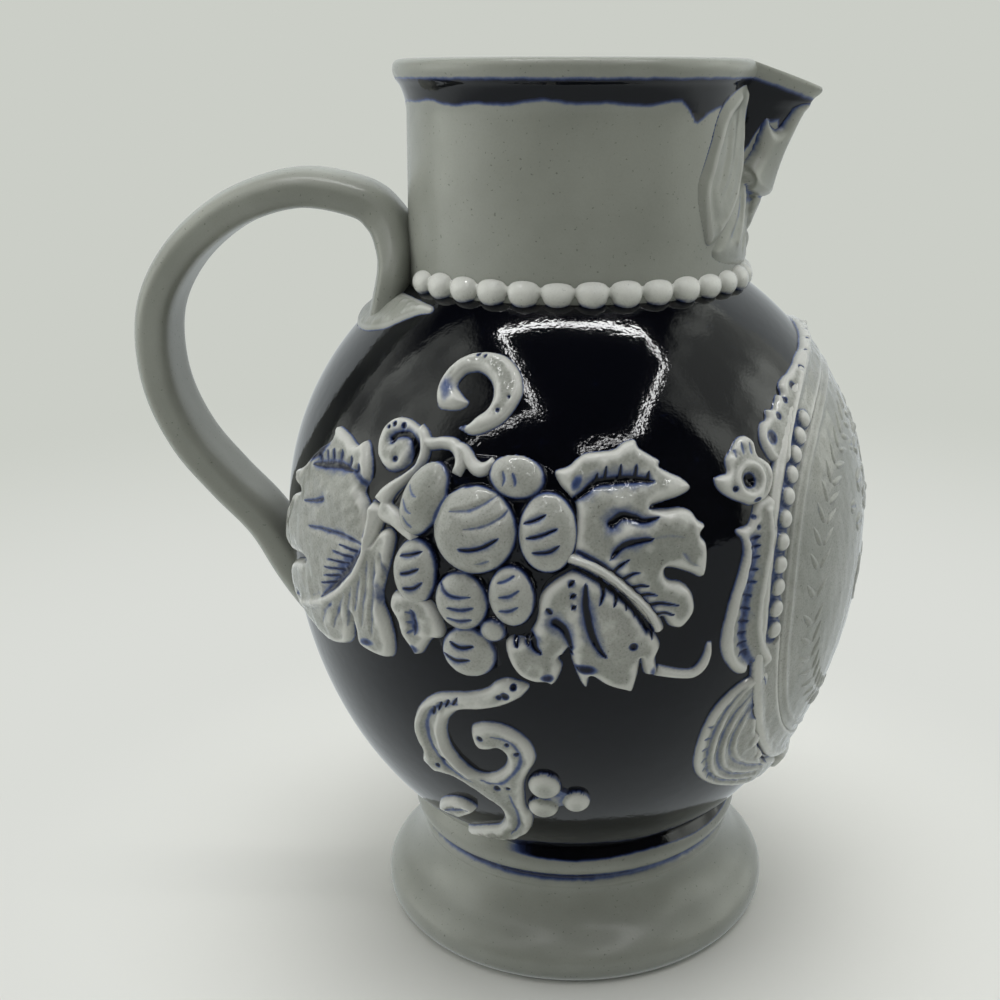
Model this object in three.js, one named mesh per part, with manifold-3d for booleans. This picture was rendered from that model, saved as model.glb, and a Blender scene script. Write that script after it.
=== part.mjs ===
// A small salt-glazed stoneware pitcher: a round-bellied jug on a flared foot, with a short
// cylindrical neck, a beak spout, a strap handle and moulded relief luted on.
// Units are millimetres. +Z is up, the spout points along +X and the handle along -X.
// The origin is the middle of the flat underside.

import * as THREE from 'three';
import { LoftGeometry } from 'three/addons/geometries/LoftGeometry.js';
import { TessellateModifier } from 'three/addons/modifiers/TessellateModifier.js';
import { mergeVertices } from 'three/addons/utils/BufferGeometryUtils.js';
import Module from 'manifold-3d';

const wasm = await Module();
wasm.setup();

// Heights of the body's sections
const FOOT_HEIGHT = 18;
const BELLY_BELOW = 42;
const BELLY_ABOVE = 31.5;
const NECK_HEIGHT = 28.5;

// Outer radii from the ground up
const FOOT_REST_RADIUS = 26.3;
const FOOT_RADIUS = 28.5;
const THROAT_RADIUS = 22.8;
const RIDGE_RADIUS = 23.9;
const WAIST_RADIUS = 23;
const BELLY_RADIUS = 39.8;
const SHOULDER_RADIUS = 23.6;
const NECK_BASE_RADIUS = 22.6;
const NECK_TOP_RADIUS = 21.75;
const LIP_RADIUS = 23.4;

// Wall and floor
const WALL = 3.6;
const FLOOR = 5;
const LIP_HEIGHT = 6;

// Beak spout
const SPOUT_REACH = 8.6;
const SPOUT_CHANNEL_REACH = 9.2;
const SPOUT_HALF_ANGLE = 13.5;
const SPOUT_CHANNEL_HALF_ANGLE = 9.5;
const SPOUT_START = 6.5;
const SPOUT_DROP = 3.2;

// Bead collar round the foot of the neck
const BEAD_COUNT = 34;
const BEAD_RADIUS = 1.8;
const BEAD_REACH = 1;
const COLLAR_CORD_RADIUS = 1.1;

// Strap handle, and the middle of the strap as [distance from the axis, height above the belly's top],
// from the neck over to the belly
const HANDLE_WIDTH = 11;
const HANDLE_ROOT_WIDTH = 18;
const HANDLE_THICKNESS = 5.4;
const HANDLE_ROUTE = [
  [25.4, -5.5], [24.3, -1.9], [23.4, 2.5], [23.7, 5.6], [25.1, 8.7], [28.3, 11.2], [36, 12.5], [44.2, 10.2],
  [50.9, 5.4], [55.3, -0.7], [56.9, -7], [56.3, -14.5], [53.4, -21.6], [48.9, -27.6], [44.2, -33],
  [40, -39.6], [34.3, -47],
];

// Relief: its heights above the belly, and the gap between pieces that are luted together
const LEAF_HEIGHT = 1.1;
const SCROLL_HEIGHT = 1.4;
const GRAPE_HEIGHT = 2.5;
const BACKING_HEIGHT = 0.6;
const FRAME_HEIGHT = 1.3;
const PANEL_HEIGHT = 0.7;
const MOTIF_HEIGHT = 0.6;
const SPOUT_LEAF_HEIGHT = 1.1;
const GAP = 0.3;

// The relief is drawn flat, in millimetres on a belly of this radius and of these arc lengths
// above and below its widest level, and it stretches with the belly that carries it.
const FIELD_RADIUS = 39.8;
const FIELD_ABOVE = 37.2;
const FIELD_BELOW = 46.5;
const FRONT = FIELD_RADIUS * Math.PI / 2;

// Fineness of the facets
const ROUND_STEPS = 48;
const RELIEF_EDGE = 6.5;
const PANEL_EDGE = 7.5;
const MERGE = 1e-4;

const BELLY_LEVEL = FOOT_HEIGHT + BELLY_BELOW;
const NECK_LEVEL = BELLY_LEVEL + BELLY_ABOVE;
const radians = THREE.MathUtils.degToRad;
const clamp = THREE.MathUtils.clamp;
const lerp = THREE.MathUtils.lerp;

// Solids

// The surface alone, with the points that meet made one
function bare(geometry) {
  const surface = new THREE.BufferGeometry();
  surface.setAttribute('position', geometry.attributes.position);
  surface.setIndex(geometry.index);
  return mergeVertices(surface, MERGE);
}

function solid(geometry) {
  const merged = bare(geometry);
  return new wasm.Manifold(new wasm.Mesh({
    numProp: 3,
    vertProperties: new Float32Array(merged.attributes.position.array),
    triVerts: new Uint32Array(merged.index.array),
  }));
}

function geometryOf(body) {
  const mesh = body.getMesh();
  const geometry = new THREE.BufferGeometry();
  geometry.setAttribute('position', new THREE.BufferAttribute(mesh.vertProperties, mesh.numProp));
  geometry.setIndex(new THREE.BufferAttribute(mesh.triVerts, 1));
  return geometry;
}

function unionOf(bodies) {
  return bodies.reduce((sum, body) => sum.add(body));
}

// Turned about the vertical axis: the profile is a list of [radius, height]
function turned(profile, steps = ROUND_STEPS) {
  const points = profile.map(([radius, height]) => new THREE.Vector2(radius, height));
  return new THREE.LatheGeometry(points, steps).rotateX(Math.PI / 2);
}

// The belly's outline: a quarter ellipse above its widest level and another below it

// The outline is moved out by an offset. Measured level, the offset is larger where the wall slopes.
function bellyArc(up, offset = 0) {
  const rise = up ? BELLY_ABOVE : BELLY_BELOW;
  const widest = BELLY_RADIUS + offset;
  const endRadius = (up ? SHOULDER_RADIUS : WAIST_RADIUS) + offset * 1.3;
  const reach = rise / Math.sqrt(1 - (endRadius / widest) ** 2);
  const end = Math.asin(rise / reach);
  return new THREE.EllipseCurve(0, BELLY_LEVEL, widest, reach, 0, up ? end : -end, !up);
}

function bellyProfile(offset, below, above) {
  const lower = bellyArc(false, offset).getPoints(below).reverse();
  const upper = bellyArc(true, offset).getPoints(above).slice(1);
  return [...lower, ...upper].map((point) => [point.x, point.y]);
}

const shoulderArc = bellyArc(true);
const lowerArc = bellyArc(false);

// A point of the drawn relief, u along the belly from its side face and v up it, h out from it
function bellyPoint(u, v, h) {
  const arc = v >= 0 ? shoulderArc : lowerArc;
  const share = clamp(v >= 0 ? v / FIELD_ABOVE : -v / FIELD_BELOW, 0, 1);
  const along = arc.getPointAt(share);
  const tangent = arc.getTangentAt(share);
  const turn = v >= 0 ? 1 : -1;
  const radius = along.x + h * tangent.y * turn;
  const height = along.y - h * tangent.x * turn;
  const angle = u / FIELD_RADIUS;
  return new THREE.Vector3(radius * Math.sin(angle), -radius * Math.cos(angle), height);
}

// Body

const INNER_WAIST = bellyArc(false, -WALL).getPoint(1).x;
const INNER_SHOULDER = bellyArc(true, -WALL).getPoint(1).x;

function foot() {
  const soleRound = FOOT_RADIUS - FOOT_REST_RADIUS;
  return turned([
    [0, 0],
    [FOOT_REST_RADIUS, 0],
    [FOOT_REST_RADIUS + soleRound * 0.7, soleRound * 0.35],
    [FOOT_RADIUS, soleRound * 1.3],
    [lerp(FOOT_RADIUS, THROAT_RADIUS, 0.15), FOOT_HEIGHT * 0.26],
    [lerp(FOOT_RADIUS, THROAT_RADIUS, 0.6), FOOT_HEIGHT * 0.4],
    [lerp(FOOT_RADIUS, THROAT_RADIUS, 0.92), FOOT_HEIGHT * 0.54],
    [THROAT_RADIUS, FOOT_HEIGHT * 0.72],
    [RIDGE_RADIUS, FOOT_HEIGHT * 0.81],
    [RIDGE_RADIUS, FOOT_HEIGHT * 0.9],
    [WAIST_RADIUS, FOOT_HEIGHT],
    [INNER_WAIST, FOOT_HEIGHT],
    [INNER_WAIST + 0.8, lerp(FLOOR, FOOT_HEIGHT, 0.6)],
    [THROAT_RADIUS - WALL, lerp(FLOOR, FOOT_HEIGHT, 0.2)],
    [THROAT_RADIUS - WALL * 1.5, FLOOR],
    [0, FLOOR],
  ]);
}

function belly() {
  const outside = bellyProfile(0, 7, 7);
  const inside = bellyProfile(-WALL, 5, 4).reverse();
  return turned([...outside, ...inside, outside[0]]);
}

// How far the spout pushes the wall out at an angle from its middle: a V with a rounded tip
function spoutShape(angle, halfAngle) {
  const round = 0.15;
  const across = Math.min(Math.abs(angle) / halfAngle, 1);
  const slope = Math.hypot(1, round) - Math.hypot(across, round);
  return slope / (Math.hypot(1, round) - round);
}

function spoutRise(height) {
  return clamp((height - SPOUT_START) / (NECK_HEIGHT - LIP_HEIGHT * 0.75 - SPOUT_START), 0, 1) ** 1.5;
}

const LIP_FOOT = NECK_HEIGHT - LIP_HEIGHT;

function neckRadius(height) {
  return lerp(NECK_BASE_RADIUS, NECK_TOP_RADIUS, Math.sqrt(clamp(height / LIP_FOOT, 0, 1)));
}

const NECK_INNER_TOP = NECK_TOP_RADIUS - WALL * 0.85;

function neckOutside() {
  const lipRound = LIP_RADIUS - NECK_TOP_RADIUS;
  return [
    ...[0, 0.28, 0.48, 0.66, 0.84, 1].map((share) => [neckRadius(share * LIP_FOOT), share * LIP_FOOT]),
    [NECK_TOP_RADIUS + lipRound * 0.35, LIP_FOOT + LIP_HEIGHT * 0.45],
    [LIP_RADIUS, LIP_FOOT + LIP_HEIGHT * 0.75],
    [LIP_RADIUS - lipRound * 0.15, LIP_FOOT + LIP_HEIGHT * 0.93],
    [LIP_RADIUS - lipRound * 0.8, NECK_HEIGHT],
  ];
}

function neckInside() {
  return [
    [NECK_INNER_TOP + WALL * 0.4, NECK_HEIGHT - LIP_HEIGHT * 0.06],
    [NECK_INNER_TOP + WALL * 0.1, NECK_HEIGHT - LIP_HEIGHT * 0.35],
    [NECK_INNER_TOP, LIP_FOOT],
    [lerp(NECK_INNER_TOP, INNER_SHOULDER, 0.2), LIP_FOOT * 0.78],
    [lerp(NECK_INNER_TOP, INNER_SHOULDER, 0.5), LIP_FOOT * 0.5],
    [INNER_SHOULDER, 0],
  ];
}

function neckSection(angle) {
  const place = (reach, halfAngle) => ([radius, height]) => {
    const shape = spoutShape(angle, halfAngle);
    const out = radius + reach * spoutRise(height) * shape;
    const lip = clamp((height - LIP_FOOT) / LIP_HEIGHT, 0, 1);
    const up = NECK_LEVEL + height - SPOUT_DROP * lip * spoutShape(angle, SPOUT_HALF_ANGLE);
    return new THREE.Vector3(out * Math.cos(radians(angle)), out * Math.sin(radians(angle)), up);
  };
  const outside = neckOutside().map(place(SPOUT_REACH, SPOUT_HALF_ANGLE));
  const inside = neckInside().map(place(SPOUT_CHANNEL_REACH, SPOUT_CHANNEL_HALF_ANGLE));
  return [...outside, ...inside].reverse();
}

function neckAngles() {
  const near = [0.15, 0.34, 0.6, 1].map((share) => share * SPOUT_HALF_ANGLE);
  const count = Math.round(ROUND_STEPS * 0.85);
  const rest = (360 - 2 * SPOUT_HALF_ANGLE) / count;
  const around = Array.from({ length: count - 1 }, (_, k) => SPOUT_HALF_ANGLE + rest * (k + 1));
  return [0, ...near, ...around, ...near.map((angle) => 360 - angle).reverse()];
}

function neck() {
  const sections = neckAngles().map((angle) => neckSection(angle > 180 ? angle - 360 : angle));
  return new LoftGeometry([...sections, sections[0]]);
}

// Bead collar: a cord that swells into a bead at every pitch, in the corner of neck and shoulder.
// It stands open where the handle roots.

// How far the collar's section has swollen, at a share of the pitch away from a bead's middle
function collarRadius(offset) {
  const swell = Math.sqrt(Math.max(1 - (offset / 0.46) ** 2, 0));
  return lerp(COLLAR_CORD_RADIUS, BEAD_RADIUS, swell);
}

function collarSection(turn, offset) {
  const angle = turn / BEAD_COUNT * Math.PI * 2;
  const round = collarRadius(offset);
  const reach = BEAD_REACH * round / BEAD_RADIUS;
  const inner = Math.max(neckRadius(0), neckRadius(2 * BEAD_RADIUS)) + GAP;
  const floor = NECK_LEVEL + GAP / 2;
  const middle = floor + BEAD_RADIUS - GAP / 2;
  const corner = [
    [inner, Math.max(middle - round, floor)],
    [inner + reach * 0.5, Math.max(middle - round, floor)],
    [inner + reach * 0.9, middle - round * 0.5],
    [inner + reach, middle],
    [inner + reach * 0.85, middle + round * 0.65],
    [inner + reach * 0.45, middle + round],
    [inner, middle + round * 0.8],
  ];
  return corner.reverse().map(([radius, height]) => (
    new THREE.Vector3(radius * Math.cos(angle), radius * Math.sin(angle), height)));
}

function beadCollar() {
  const rootAngle = Math.atan2(HANDLE_ROOT_WIDTH / 2 + GAP, NECK_BASE_RADIUS);
  const lastBead = Math.floor((Math.PI - rootAngle) / (Math.PI * 2) * BEAD_COUNT - 0.5);
  const sections = [];
  for (let bead = -lastBead; bead <= lastBead; bead += 1) {
    for (const offset of [-0.5, -0.26, 0, 0.26]) {
      sections.push(collarSection(bead + offset, offset));
    }
  }
  sections.push(collarSection(lastBead + 0.5, 0.5));
  return new LoftGeometry(sections, { capStart: true, capEnd: true });
}

// The neck and the belly, filled in and grown by the gap: the room that their neighbours keep clear

function neckRoom() {
  const outside = neckOutside().slice(0, 6).map(([radius, height]) => [radius + GAP, NECK_LEVEL + height]);
  return turned([[0, NECK_LEVEL], ...outside, [0, NECK_LEVEL + LIP_FOOT]]);
}

function bellyRoom() {
  const outside = bellyProfile(GAP, 10, 9);
  const top = NECK_LEVEL + GAP;
  const wide = outside[outside.length - 1][0];
  return turned([[0, outside[0][1]], ...outside, [wide, top], [0, top]]);
}

// Strap handle: a rounded strap along a curve in the plane of the spout

function handle() {
  const path = new THREE.CatmullRomCurve3(HANDLE_ROUTE.map(([out, up]) => (
    new THREE.Vector3(-out, 0, NECK_LEVEL + up))));
  const stations = 26;
  const corners = 12;
  const sections = Array.from({ length: stations + 1 }, (_, k) => {
    const share = k / stations;
    const middle = path.getPointAt(share);
    const tangent = path.getTangentAt(share);
    const outward = new THREE.Vector3(tangent.z, 0, -tangent.x);
    const flare = clamp(1 - share * stations / 6, 0, 1);
    const half = lerp(HANDLE_WIDTH, HANDLE_ROOT_WIDTH, flare) / 2;
    return Array.from({ length: corners }, (_, c) => {
      const angle = -(c + 0.5) / corners * Math.PI * 2;
      const across = half * Math.sign(Math.cos(angle)) * Math.abs(Math.cos(angle)) ** 0.5;
      const depth = HANDLE_THICKNESS / 2 * Math.sign(Math.sin(angle)) * Math.abs(Math.sin(angle)) ** 0.7;
      return new THREE.Vector3(0, across, 0).add(middle).addScaledVector(outward, depth);
    });
  });
  const strap = solid(new LoftGeometry(sections, { capStart: true, capEnd: true }));
  return geometryOf(strap.subtract(solid(bellyRoom())).subtract(solid(neckRoom())));
}

// Relief, drawn flat and then wrapped

function outlineShape(points) {
  return new THREE.Shape(points.map(([u, v]) => new THREE.Vector2(u, v)));
}

// A flat plate of the drawn outline, from h = 0 up
function plate(points, height) {
  return solid(new THREE.ExtrudeGeometry(outlineShape(points), { depth: height, bevelEnabled: false }));
}

// The outline of a band along a line of [u, v, width]
function band(line) {
  const left = [];
  const right = [];
  line.forEach(([u, v, width], k) => {
    const before = line[Math.max(k - 1, 0)];
    const after = line[Math.min(k + 1, line.length - 1)];
    const along = new THREE.Vector2(after[0] - before[0], after[1] - before[1]).normalize();
    left.push([u - along.y * width / 2, v + along.x * width / 2]);
    right.unshift([u + along.y * width / 2, v - along.x * width / 2]);
  });
  return [...left, ...right];
}

// A low dome over an ellipse: [u, v, half width, half height, tilt in degrees]
function dome([u, v, halfWidth, halfHeight, tilt = 0], height, steps = 10) {
  const rings = steps > 6 ? [0, 0.45, 0.8] : [0, 0.55];
  const quarter = rings.map((share) => {
    const angle = share * Math.PI / 2;
    return new THREE.Vector2(Math.cos(angle), Math.sin(angle));
  });
  const profile = [new THREE.Vector2(0, 0), ...quarter, new THREE.Vector2(0, 1)];
  return solid(new THREE.LatheGeometry(profile, steps).rotateX(Math.PI / 2)
    .scale(halfWidth, halfHeight, height).rotateZ(radians(tilt)).translate(u, v, 0));
}

// An upright cylinder over a domed piece's footprint, grown by the gap, to cut its room in a neighbour
function footprint([u, v, halfWidth, halfHeight, tilt = 0], height) {
  return solid(new THREE.CylinderGeometry(1, 1, height * 4, 12).rotateX(Math.PI / 2)
    .scale(halfWidth + GAP, halfHeight + GAP, 1).rotateZ(radians(tilt)).translate(u, v, 0));
}

function wrap(flat, side, lift = GAP, edge = RELIEF_EDGE) {
  const fine = new TessellateModifier(edge, 10).modify(geometryOf(flat));
  const position = fine.attributes.position;
  for (let k = 0; k < position.count; k += 1) {
    const point = bellyPoint(position.getX(k), position.getY(k), position.getZ(k) + lift);
    position.setXYZ(k, point.x, point.y * (side === 'left' ? -1 : 1), point.z);
  }
  const wrapped = mergeVertices(fine, MERGE);
  if (side === 'left') {
    wrapped.setIndex(Array.from(wrapped.index.array).reverse());
  }
  return wrapped;
}

// Grapes of the cluster
const GRAPES = [
  [-12.2, 9.1, 5.05, 5.05],
  [-19.4, 12, 2.7, 4.7, -22],
  [-7.3, 15.7, 3.4, 2.4, -8],
  [-3.2, 9.3, 3.25, 4.5],
  [-19.9, 3, 2.9, 4, -6],
  [-13.6, 0.3, 3.1, 3.4],
  [-7.4, 1.5, 2.5, 3.5, 4],
  [-12.9, -6.3, 3.3, 3.1],
];

const GRAPE_BACKING = [
  [-12.2, 14], [-8, 16.5], [-4.5, 14.5], [-1, 10], [-2, 5.5], [-5.6, 3], [-5.8, -0.5], [-8.4, -2.6],
  [-10.6, -4], [-10.4, -7], [-13, -8.6], [-15.6, -6.5], [-15.2, -3], [-18, -0.4], [-21.6, 1], [-22, 5],
  [-20.6, 7.5], [-21.2, 12], [-18.4, 16], [-16.4, 13.2],
];

function grapeCluster() {
  const domes = GRAPES.map((grape) => dome(grape, GRAPE_HEIGHT));
  return unionOf([plate(GRAPE_BACKING, BACKING_HEIGHT), ...domes]);
}

function clearOfGrapes(body, height) {
  const backing = GRAPE_BACKING.map(([u, v]) => {
    const out = 1 + GAP / Math.hypot(u + 12, v - 4);
    return [-12 + (u + 12) * out, 4 + (v - 4) * out];
  });
  const rooms = GRAPES.map((grape) => footprint(grape, height));
  return [plate(backing, height * 2), ...rooms].reduce((left, room) => left.subtract(room), body);
}

const REAR_LEAF = [
  [-27.7, 10], [-28.9, 11.4], [-28.2, 13.2], [-29, 15.5], [-30.6, 17.4], [-32.3, 16.5], [-35, 17.4],
  [-38.2, 17.9], [-37.8, 16.3], [-40, 14.8], [-43.6, 11.5], [-46.3, 10.2], [-45.8, 8.4], [-43.2, 8],
  [-45.9, 7], [-48.2, 3.5], [-49, 0], [-46, -0.9], [-41, -0.4], [-46.5, -2.5], [-48.5, -6], [-45, -8.6],
  [-41, -9.8], [-36.5, -10.6], [-33, -9.8], [-31.1, -8], [-30.4, -4.8], [-29.9, -6.5], [-29.6, -8.6],
  [-27, -9.4], [-24.2, -9.2], [-23.4, -7], [-23.8, -4], [-24.8, -1.5], [-24.2, 1.2], [-23.3, 4],
  [-22.8, 6.6], [-23.5, 7.7], [-25, 7.2], [-26.6, 5.2], [-27.2, 7.5],
];

const MIDDLE_LEAF = [
  [-22.6, 0.1], [-23.4, -1.3], [-23.2, -2.4], [-22.3, -3.6], [-22, -5.2], [-21, -6.6], [-20.2, -7.8],
  [-19.2, -7.4], [-18.4, -6.2], [-17.6, -5.2], [-16.4, -4.9], [-15.6, -3.6], [-17, -0.5],
];

const FRONT_UPPER_LEAF = [
  [-2.5, 16.4], [-0.9, 17], [1.5, 18.6], [4.8, 18.9], [7.8, 20], [8.3, 19], [10.8, 17.4], [10.7, 16.6],
  [13.4, 15.1], [14.6, 13.8], [12.4, 12.9], [9.3, 12.3], [9.6, 11.6], [12.8, 11.7], [14.4, 11],
  [15.9, 9.2], [15.2, 8.2], [15.9, 6.6], [15.6, 3.6], [14.8, 3.2], [11.4, 4.8], [10.5, 4.7], [10.7, 3.5],
  [12.4, 2.9], [13.6, 1.8], [14.2, 0], [13.6, -1.9], [12.2, -2.9], [11.1, -2.4], [10.2, -1.2], [9.5, -2.4],
  [8.6, -0.6], [7, 1.4], [5.2, 3.1], [3.4, 4.6], [1.6, 5.9], [0.1, 6.4], [0.3, 9.5], [0.1, 12.2],
  [-0.6, 13.5], [-1.9, 14.9],
];

const FRONT_LOWER_LEAF = [
  [-0.9, 4.7], [0.6, 5.2], [2.3, 4.5], [4, 3.2], [6, 1.3], [7.8, -0.8], [8.7, -2.6], [9.6, -3.6],
  [10.1, -5], [9.4, -7], [8.6, -7.6], [7.6, -6.2], [7.6, -8], [6.9, -10.8], [5.8, -10.6], [3.8, -9.8],
  [1.9, -8.5], [1.4, -10], [0.2, -8], [-0.6, -4.6], [-0.9, -5.9], [-1.9, -6], [-1.5, -7], [-2, -8.7],
  [-2.7, -9.7], [-4.9, -9.4], [-6.6, -8.6], [-7.7, -7], [-8.2, -5], [-8, -3.8], [-7, -3.1], [-5.8, -3.5],
  [-4.7, -1.8], [-4.3, -0.5], [-4.1, 1.5], [-3.2, 3],
];

const TOP_SCROLL = [
  [-16.2, 20.9, 0.4], [-14.2, 21.1, 1.3], [-12, 21.4, 2.2], [-10.2, 22.8, 3.4], [-9.7, 25.2, 4.2],
  [-10.3, 27.6, 4.2], [-12.2, 29.4, 3.2], [-15, 29.8, 2.7], [-17.6, 29.1, 2.9], [-19.3, 27.2, 3.6],
  [-19.4, 25.2, 4], [-18, 24, 2.9], [-16.2, 23.9, 1.2],
];

const TENDRIL_CURL = [
  [-28.5, 18.4], [-28, 20], [-26.5, 21.1], [-24.6, 21.2], [-22.8, 20.7], [-21.6, 19.9], [-22.2, 18],
  [-22.4, 16.4], [-24.2, 14.7], [-25.8, 14.6], [-27.2, 15.4], [-28.1, 16.7],
];
const TENDRIL_STEM = [
  [-22.4, 20, 1.3], [-21, 19, 1.2], [-20.6, 17.2, 1], [-21.3, 15.4, 1], [-22.6, 14.1, 1], [-24.6, 12.9, 1.1],
  [-26, 11.3, 1.7], [-25.6, 10, 1.7], [-24.2, 9.6, 1.5], [-22.8, 9.3, 1.2],
];
const TENDRIL_LOOP = [
  [-21, 18.8, 1], [-19.6, 18.6, 0.9], [-18, 18.9, 0.9], [-16.4, 18.8, 1], [-15.4, 18, 1.2], [-15, 16.6, 1.2],
  [-15.2, 15.6, 0.9],
];
const TENDRIL_REACH = [
  [-16, 18.6, 0.8], [-14.6, 18.1, 1], [-13.4, 16.8, 1.1], [-12.3, 16.2, 1.2], [-11.5, 16.6, 1],
];

const HOOK = [
  [9.9, -8.2, 0.9], [11.2, -8.7, 0.9], [13, -9.2, 0.8], [14.6, -9.4, 0.9], [15.8, -8.4, 0.9],
  [16.4, -6.9, 0.7], [16.5, -5.6, 0.3],
];

const LOWER_SCROLL = [
  [-6.4, -10.1, 2.4], [-8.2, -11.2, 2.9], [-11, -12.8, 2.9], [-14.8, -13.8, 2.8], [-17.6, -15.2, 3.4],
  [-19.6, -17.6, 4.4], [-20.2, -20.6, 5], [-19.8, -23.4, 4.8], [-18.6, -25.6, 4.2], [-16.4, -27, 3.4],
  [-13.6, -28.2, 4.2], [-10.8, -30.6, 4.8], [-9.8, -33.8, 4.6], [-10, -36.8, 4.6], [-11.6, -39.4, 3.4],
  [-14.6, -41.1, 2.4], [-18.6, -42.2, 1.6],
];
const LOWER_SCROLL_CURL = [
  [-11.4, -29, 3.4], [-9.4, -26.6, 3.6], [-7.9, -23.8, 3.6], [-7.4, -21.2, 4.1], [-8.6, -18.9, 3.8],
  [-10.8, -18.3, 3.6], [-12.8, -18.6, 2.8], [-13.6, -19.2, 1.6],
];

const BERRIES = [
  [-4.4, -26.9, 2.4, 2.4],
  [-4.9, -31.7, 2.4, 2.2],
  [0.2, -30.1, 2.1, 2.1],
];
const BERRY_BACKING = [[-5, -26.2], [-3, -26.8], [-0.2, -28.8], [0.8, -30.6], [-2, -31.6], [-4.6, -32.8], [-6, -31]];

const STEM_LEAF = [
  [-16.8, -34.2], [-18.3, -33], [-21, -33.2], [-24, -34.8], [-25.6, -37], [-22, -38], [-19.5, -36.8],
  [-17.5, -35.4],
];

// Medallion round the front: an oval given as a share of its half width and half height
const OVAL_LEVEL = -4;
const OVAL_HALF_WIDTH = 36.1;
const OVAL_HALF_HEIGHT = 29.6;
const OVAL_POWER = 2.4;
const MEDALLION_BEADS = 10;

function ovalPoint(angle, grow) {
  const across = Math.sign(Math.cos(angle)) * Math.abs(Math.cos(angle)) ** (2 / OVAL_POWER);
  const up = Math.sign(Math.sin(angle)) * Math.abs(Math.sin(angle)) ** (2 / OVAL_POWER);
  return [FRONT - across * (OVAL_HALF_WIDTH + grow), OVAL_LEVEL + up * (OVAL_HALF_HEIGHT + grow)];
}

function medallionPanel() {
  const points = Array.from({ length: 32 }, (_, k) => ovalPoint(-(k + 0.5) / 32 * Math.PI * 2, -2.3));
  return plate(points, PANEL_HEIGHT);
}

function medallionBeads() {
  const start = -0.07;
  const end = 1.02;
  const half = 1.3;
  const steps = 12;
  const angleAt = (share) => lerp(start, end, share) * Math.PI / 3;
  const outside = Array.from({ length: steps + 1 }, (_, k) => ovalPoint(angleAt(k / steps), half));
  const inside = Array.from({ length: steps + 1 }, (_, k) => ovalPoint(angleAt(k / steps), -half)).reverse();
  const line = new THREE.CatmullRomCurve3(Array.from({ length: 20 }, (_, k) => {
    const [u, v] = ovalPoint(angleAt(0.03 + k / 19 * 0.94), 0);
    return new THREE.Vector3(u, v, 0);
  }));
  const beads = Array.from({ length: MEDALLION_BEADS }, (_, k) => {
    const point = line.getPointAt(k / (MEDALLION_BEADS - 1));
    return dome([point.x, point.y, half, half], FRAME_HEIGHT, 6);
  });
  return unionOf([plate([...outside, ...inside], BACKING_HEIGHT), ...beads]);
}

const FRAME_BAR = [
  [20.2, 8], [22, 8.2], [23, 9.3], [23.2, 10.2], [25.8, 10.2], [25.9, 8], [25.3, 5.5], [24.8, 3], [24.3, 0],
  [23.8, -2.5], [24, -5], [24.8, -7.2], [25.9, -9], [27, -10.4], [25.6, -11.2], [23.6, -10.9],
  [21.3, -10.8], [19.6, -9.3], [18.6, -7.5], [18.2, -5], [18.6, -2.6], [19.3, 0], [20.1, 2], [20.9, 4.2],
  [21.2, 6], [20.8, 7.2],
];

const ROSETTE = [
  [17.9, 14.3], [18.6, 12.9], [20, 11.9], [21.6, 11.1], [22.7, 10.7], [24.8, 10.7], [26.3, 11.8],
  [27.2, 13.4], [27, 15], [26.2, 15.8], [25.3, 16.4], [25.2, 18.1], [24.1, 19], [22.6, 18.8],
  [21.3, 17.7], [20.1, 16.6], [20, 15], [18.9, 14.8],
];
const ROSETTE_EYE = [22.9, 13.7, 1, 1];

const VOLUTE = [
  [24.4, -12.2], [21.6, -13.2], [19.4, -14.8], [18, -17.2], [17.3, -20], [17.2, -23], [17.9, -26],
  [19.5, -28.6], [22.2, -30.8], [26, -32.6], [31, -34.8], [36, -36.2], [41, -36.6], [43.6, -35.4],
  [42, -33.8], [38, -32.4], [33.5, -29.8], [29.5, -26.4], [26.2, -22.8], [24.4, -19.8], [23.8, -16.8],
  [24.8, -14.2],
];

// The outer and inner edges of the crest and of the base shell, from their middle out
const CREST_OUTSIDE = [
  [0, 32.4], [5.5, 31.6], [8.5, 30.2], [12.5, 29.8], [15, 28.4], [18.5, 28.2], [21.5, 26.8], [24.5, 26],
  [26.5, 25.5], [27.9, 24.4], [28.4, 22.9], [29.5, 23.1], [30.6, 22.4], [31.6, 21.5], [32.9, 21.6],
  [33.6, 20.5], [35, 20.1], [35.8, 18.9], [36, 17.4], [35.7, 16.3], [34.7, 15],
];
const CREST_INSIDE = [
  [33.7, 14.2], [32.3, 16.4], [29.9, 19.3], [26.5, 22.1], [22, 24.6], [16.5, 26.6], [8.5, 27.9], [0, 28.3],
];
const SHELL_OUTSIDE = [
  [0, -42.5], [2.5, -42.4], [5.5, -41.2], [9.5, -41.2], [12.5, -39.6], [16, -38.8], [17.9, -36.6], [17.5, -34.4],
];
const SHELL_INSIDE = [[12, -35], [6, -35.3], [0, -35.4]];

// Both halves of an outline that mirrors about the front
function bothHalves(outside, inside) {
  const half = [...outside, ...inside];
  const across = half.filter(([out]) => out > 0).reverse();
  return [...half.map(([out, v]) => [FRONT + out, v]), ...across.map(([out, v]) => [FRONT - out, v])];
}

function mirroredRing(outside, inside) {
  const left = outside.slice(1).reverse().map(([out, v]) => [FRONT - out, v]);
  const right = outside.map(([out, v]) => [FRONT + out, v]);
  const backRight = inside.map(([out, v]) => [FRONT + out, v]);
  const backLeft = inside.slice(0, -1).reverse().map(([out, v]) => [FRONT - out, v]);
  return [...left, ...right, ...backRight, ...backLeft];
}

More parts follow.
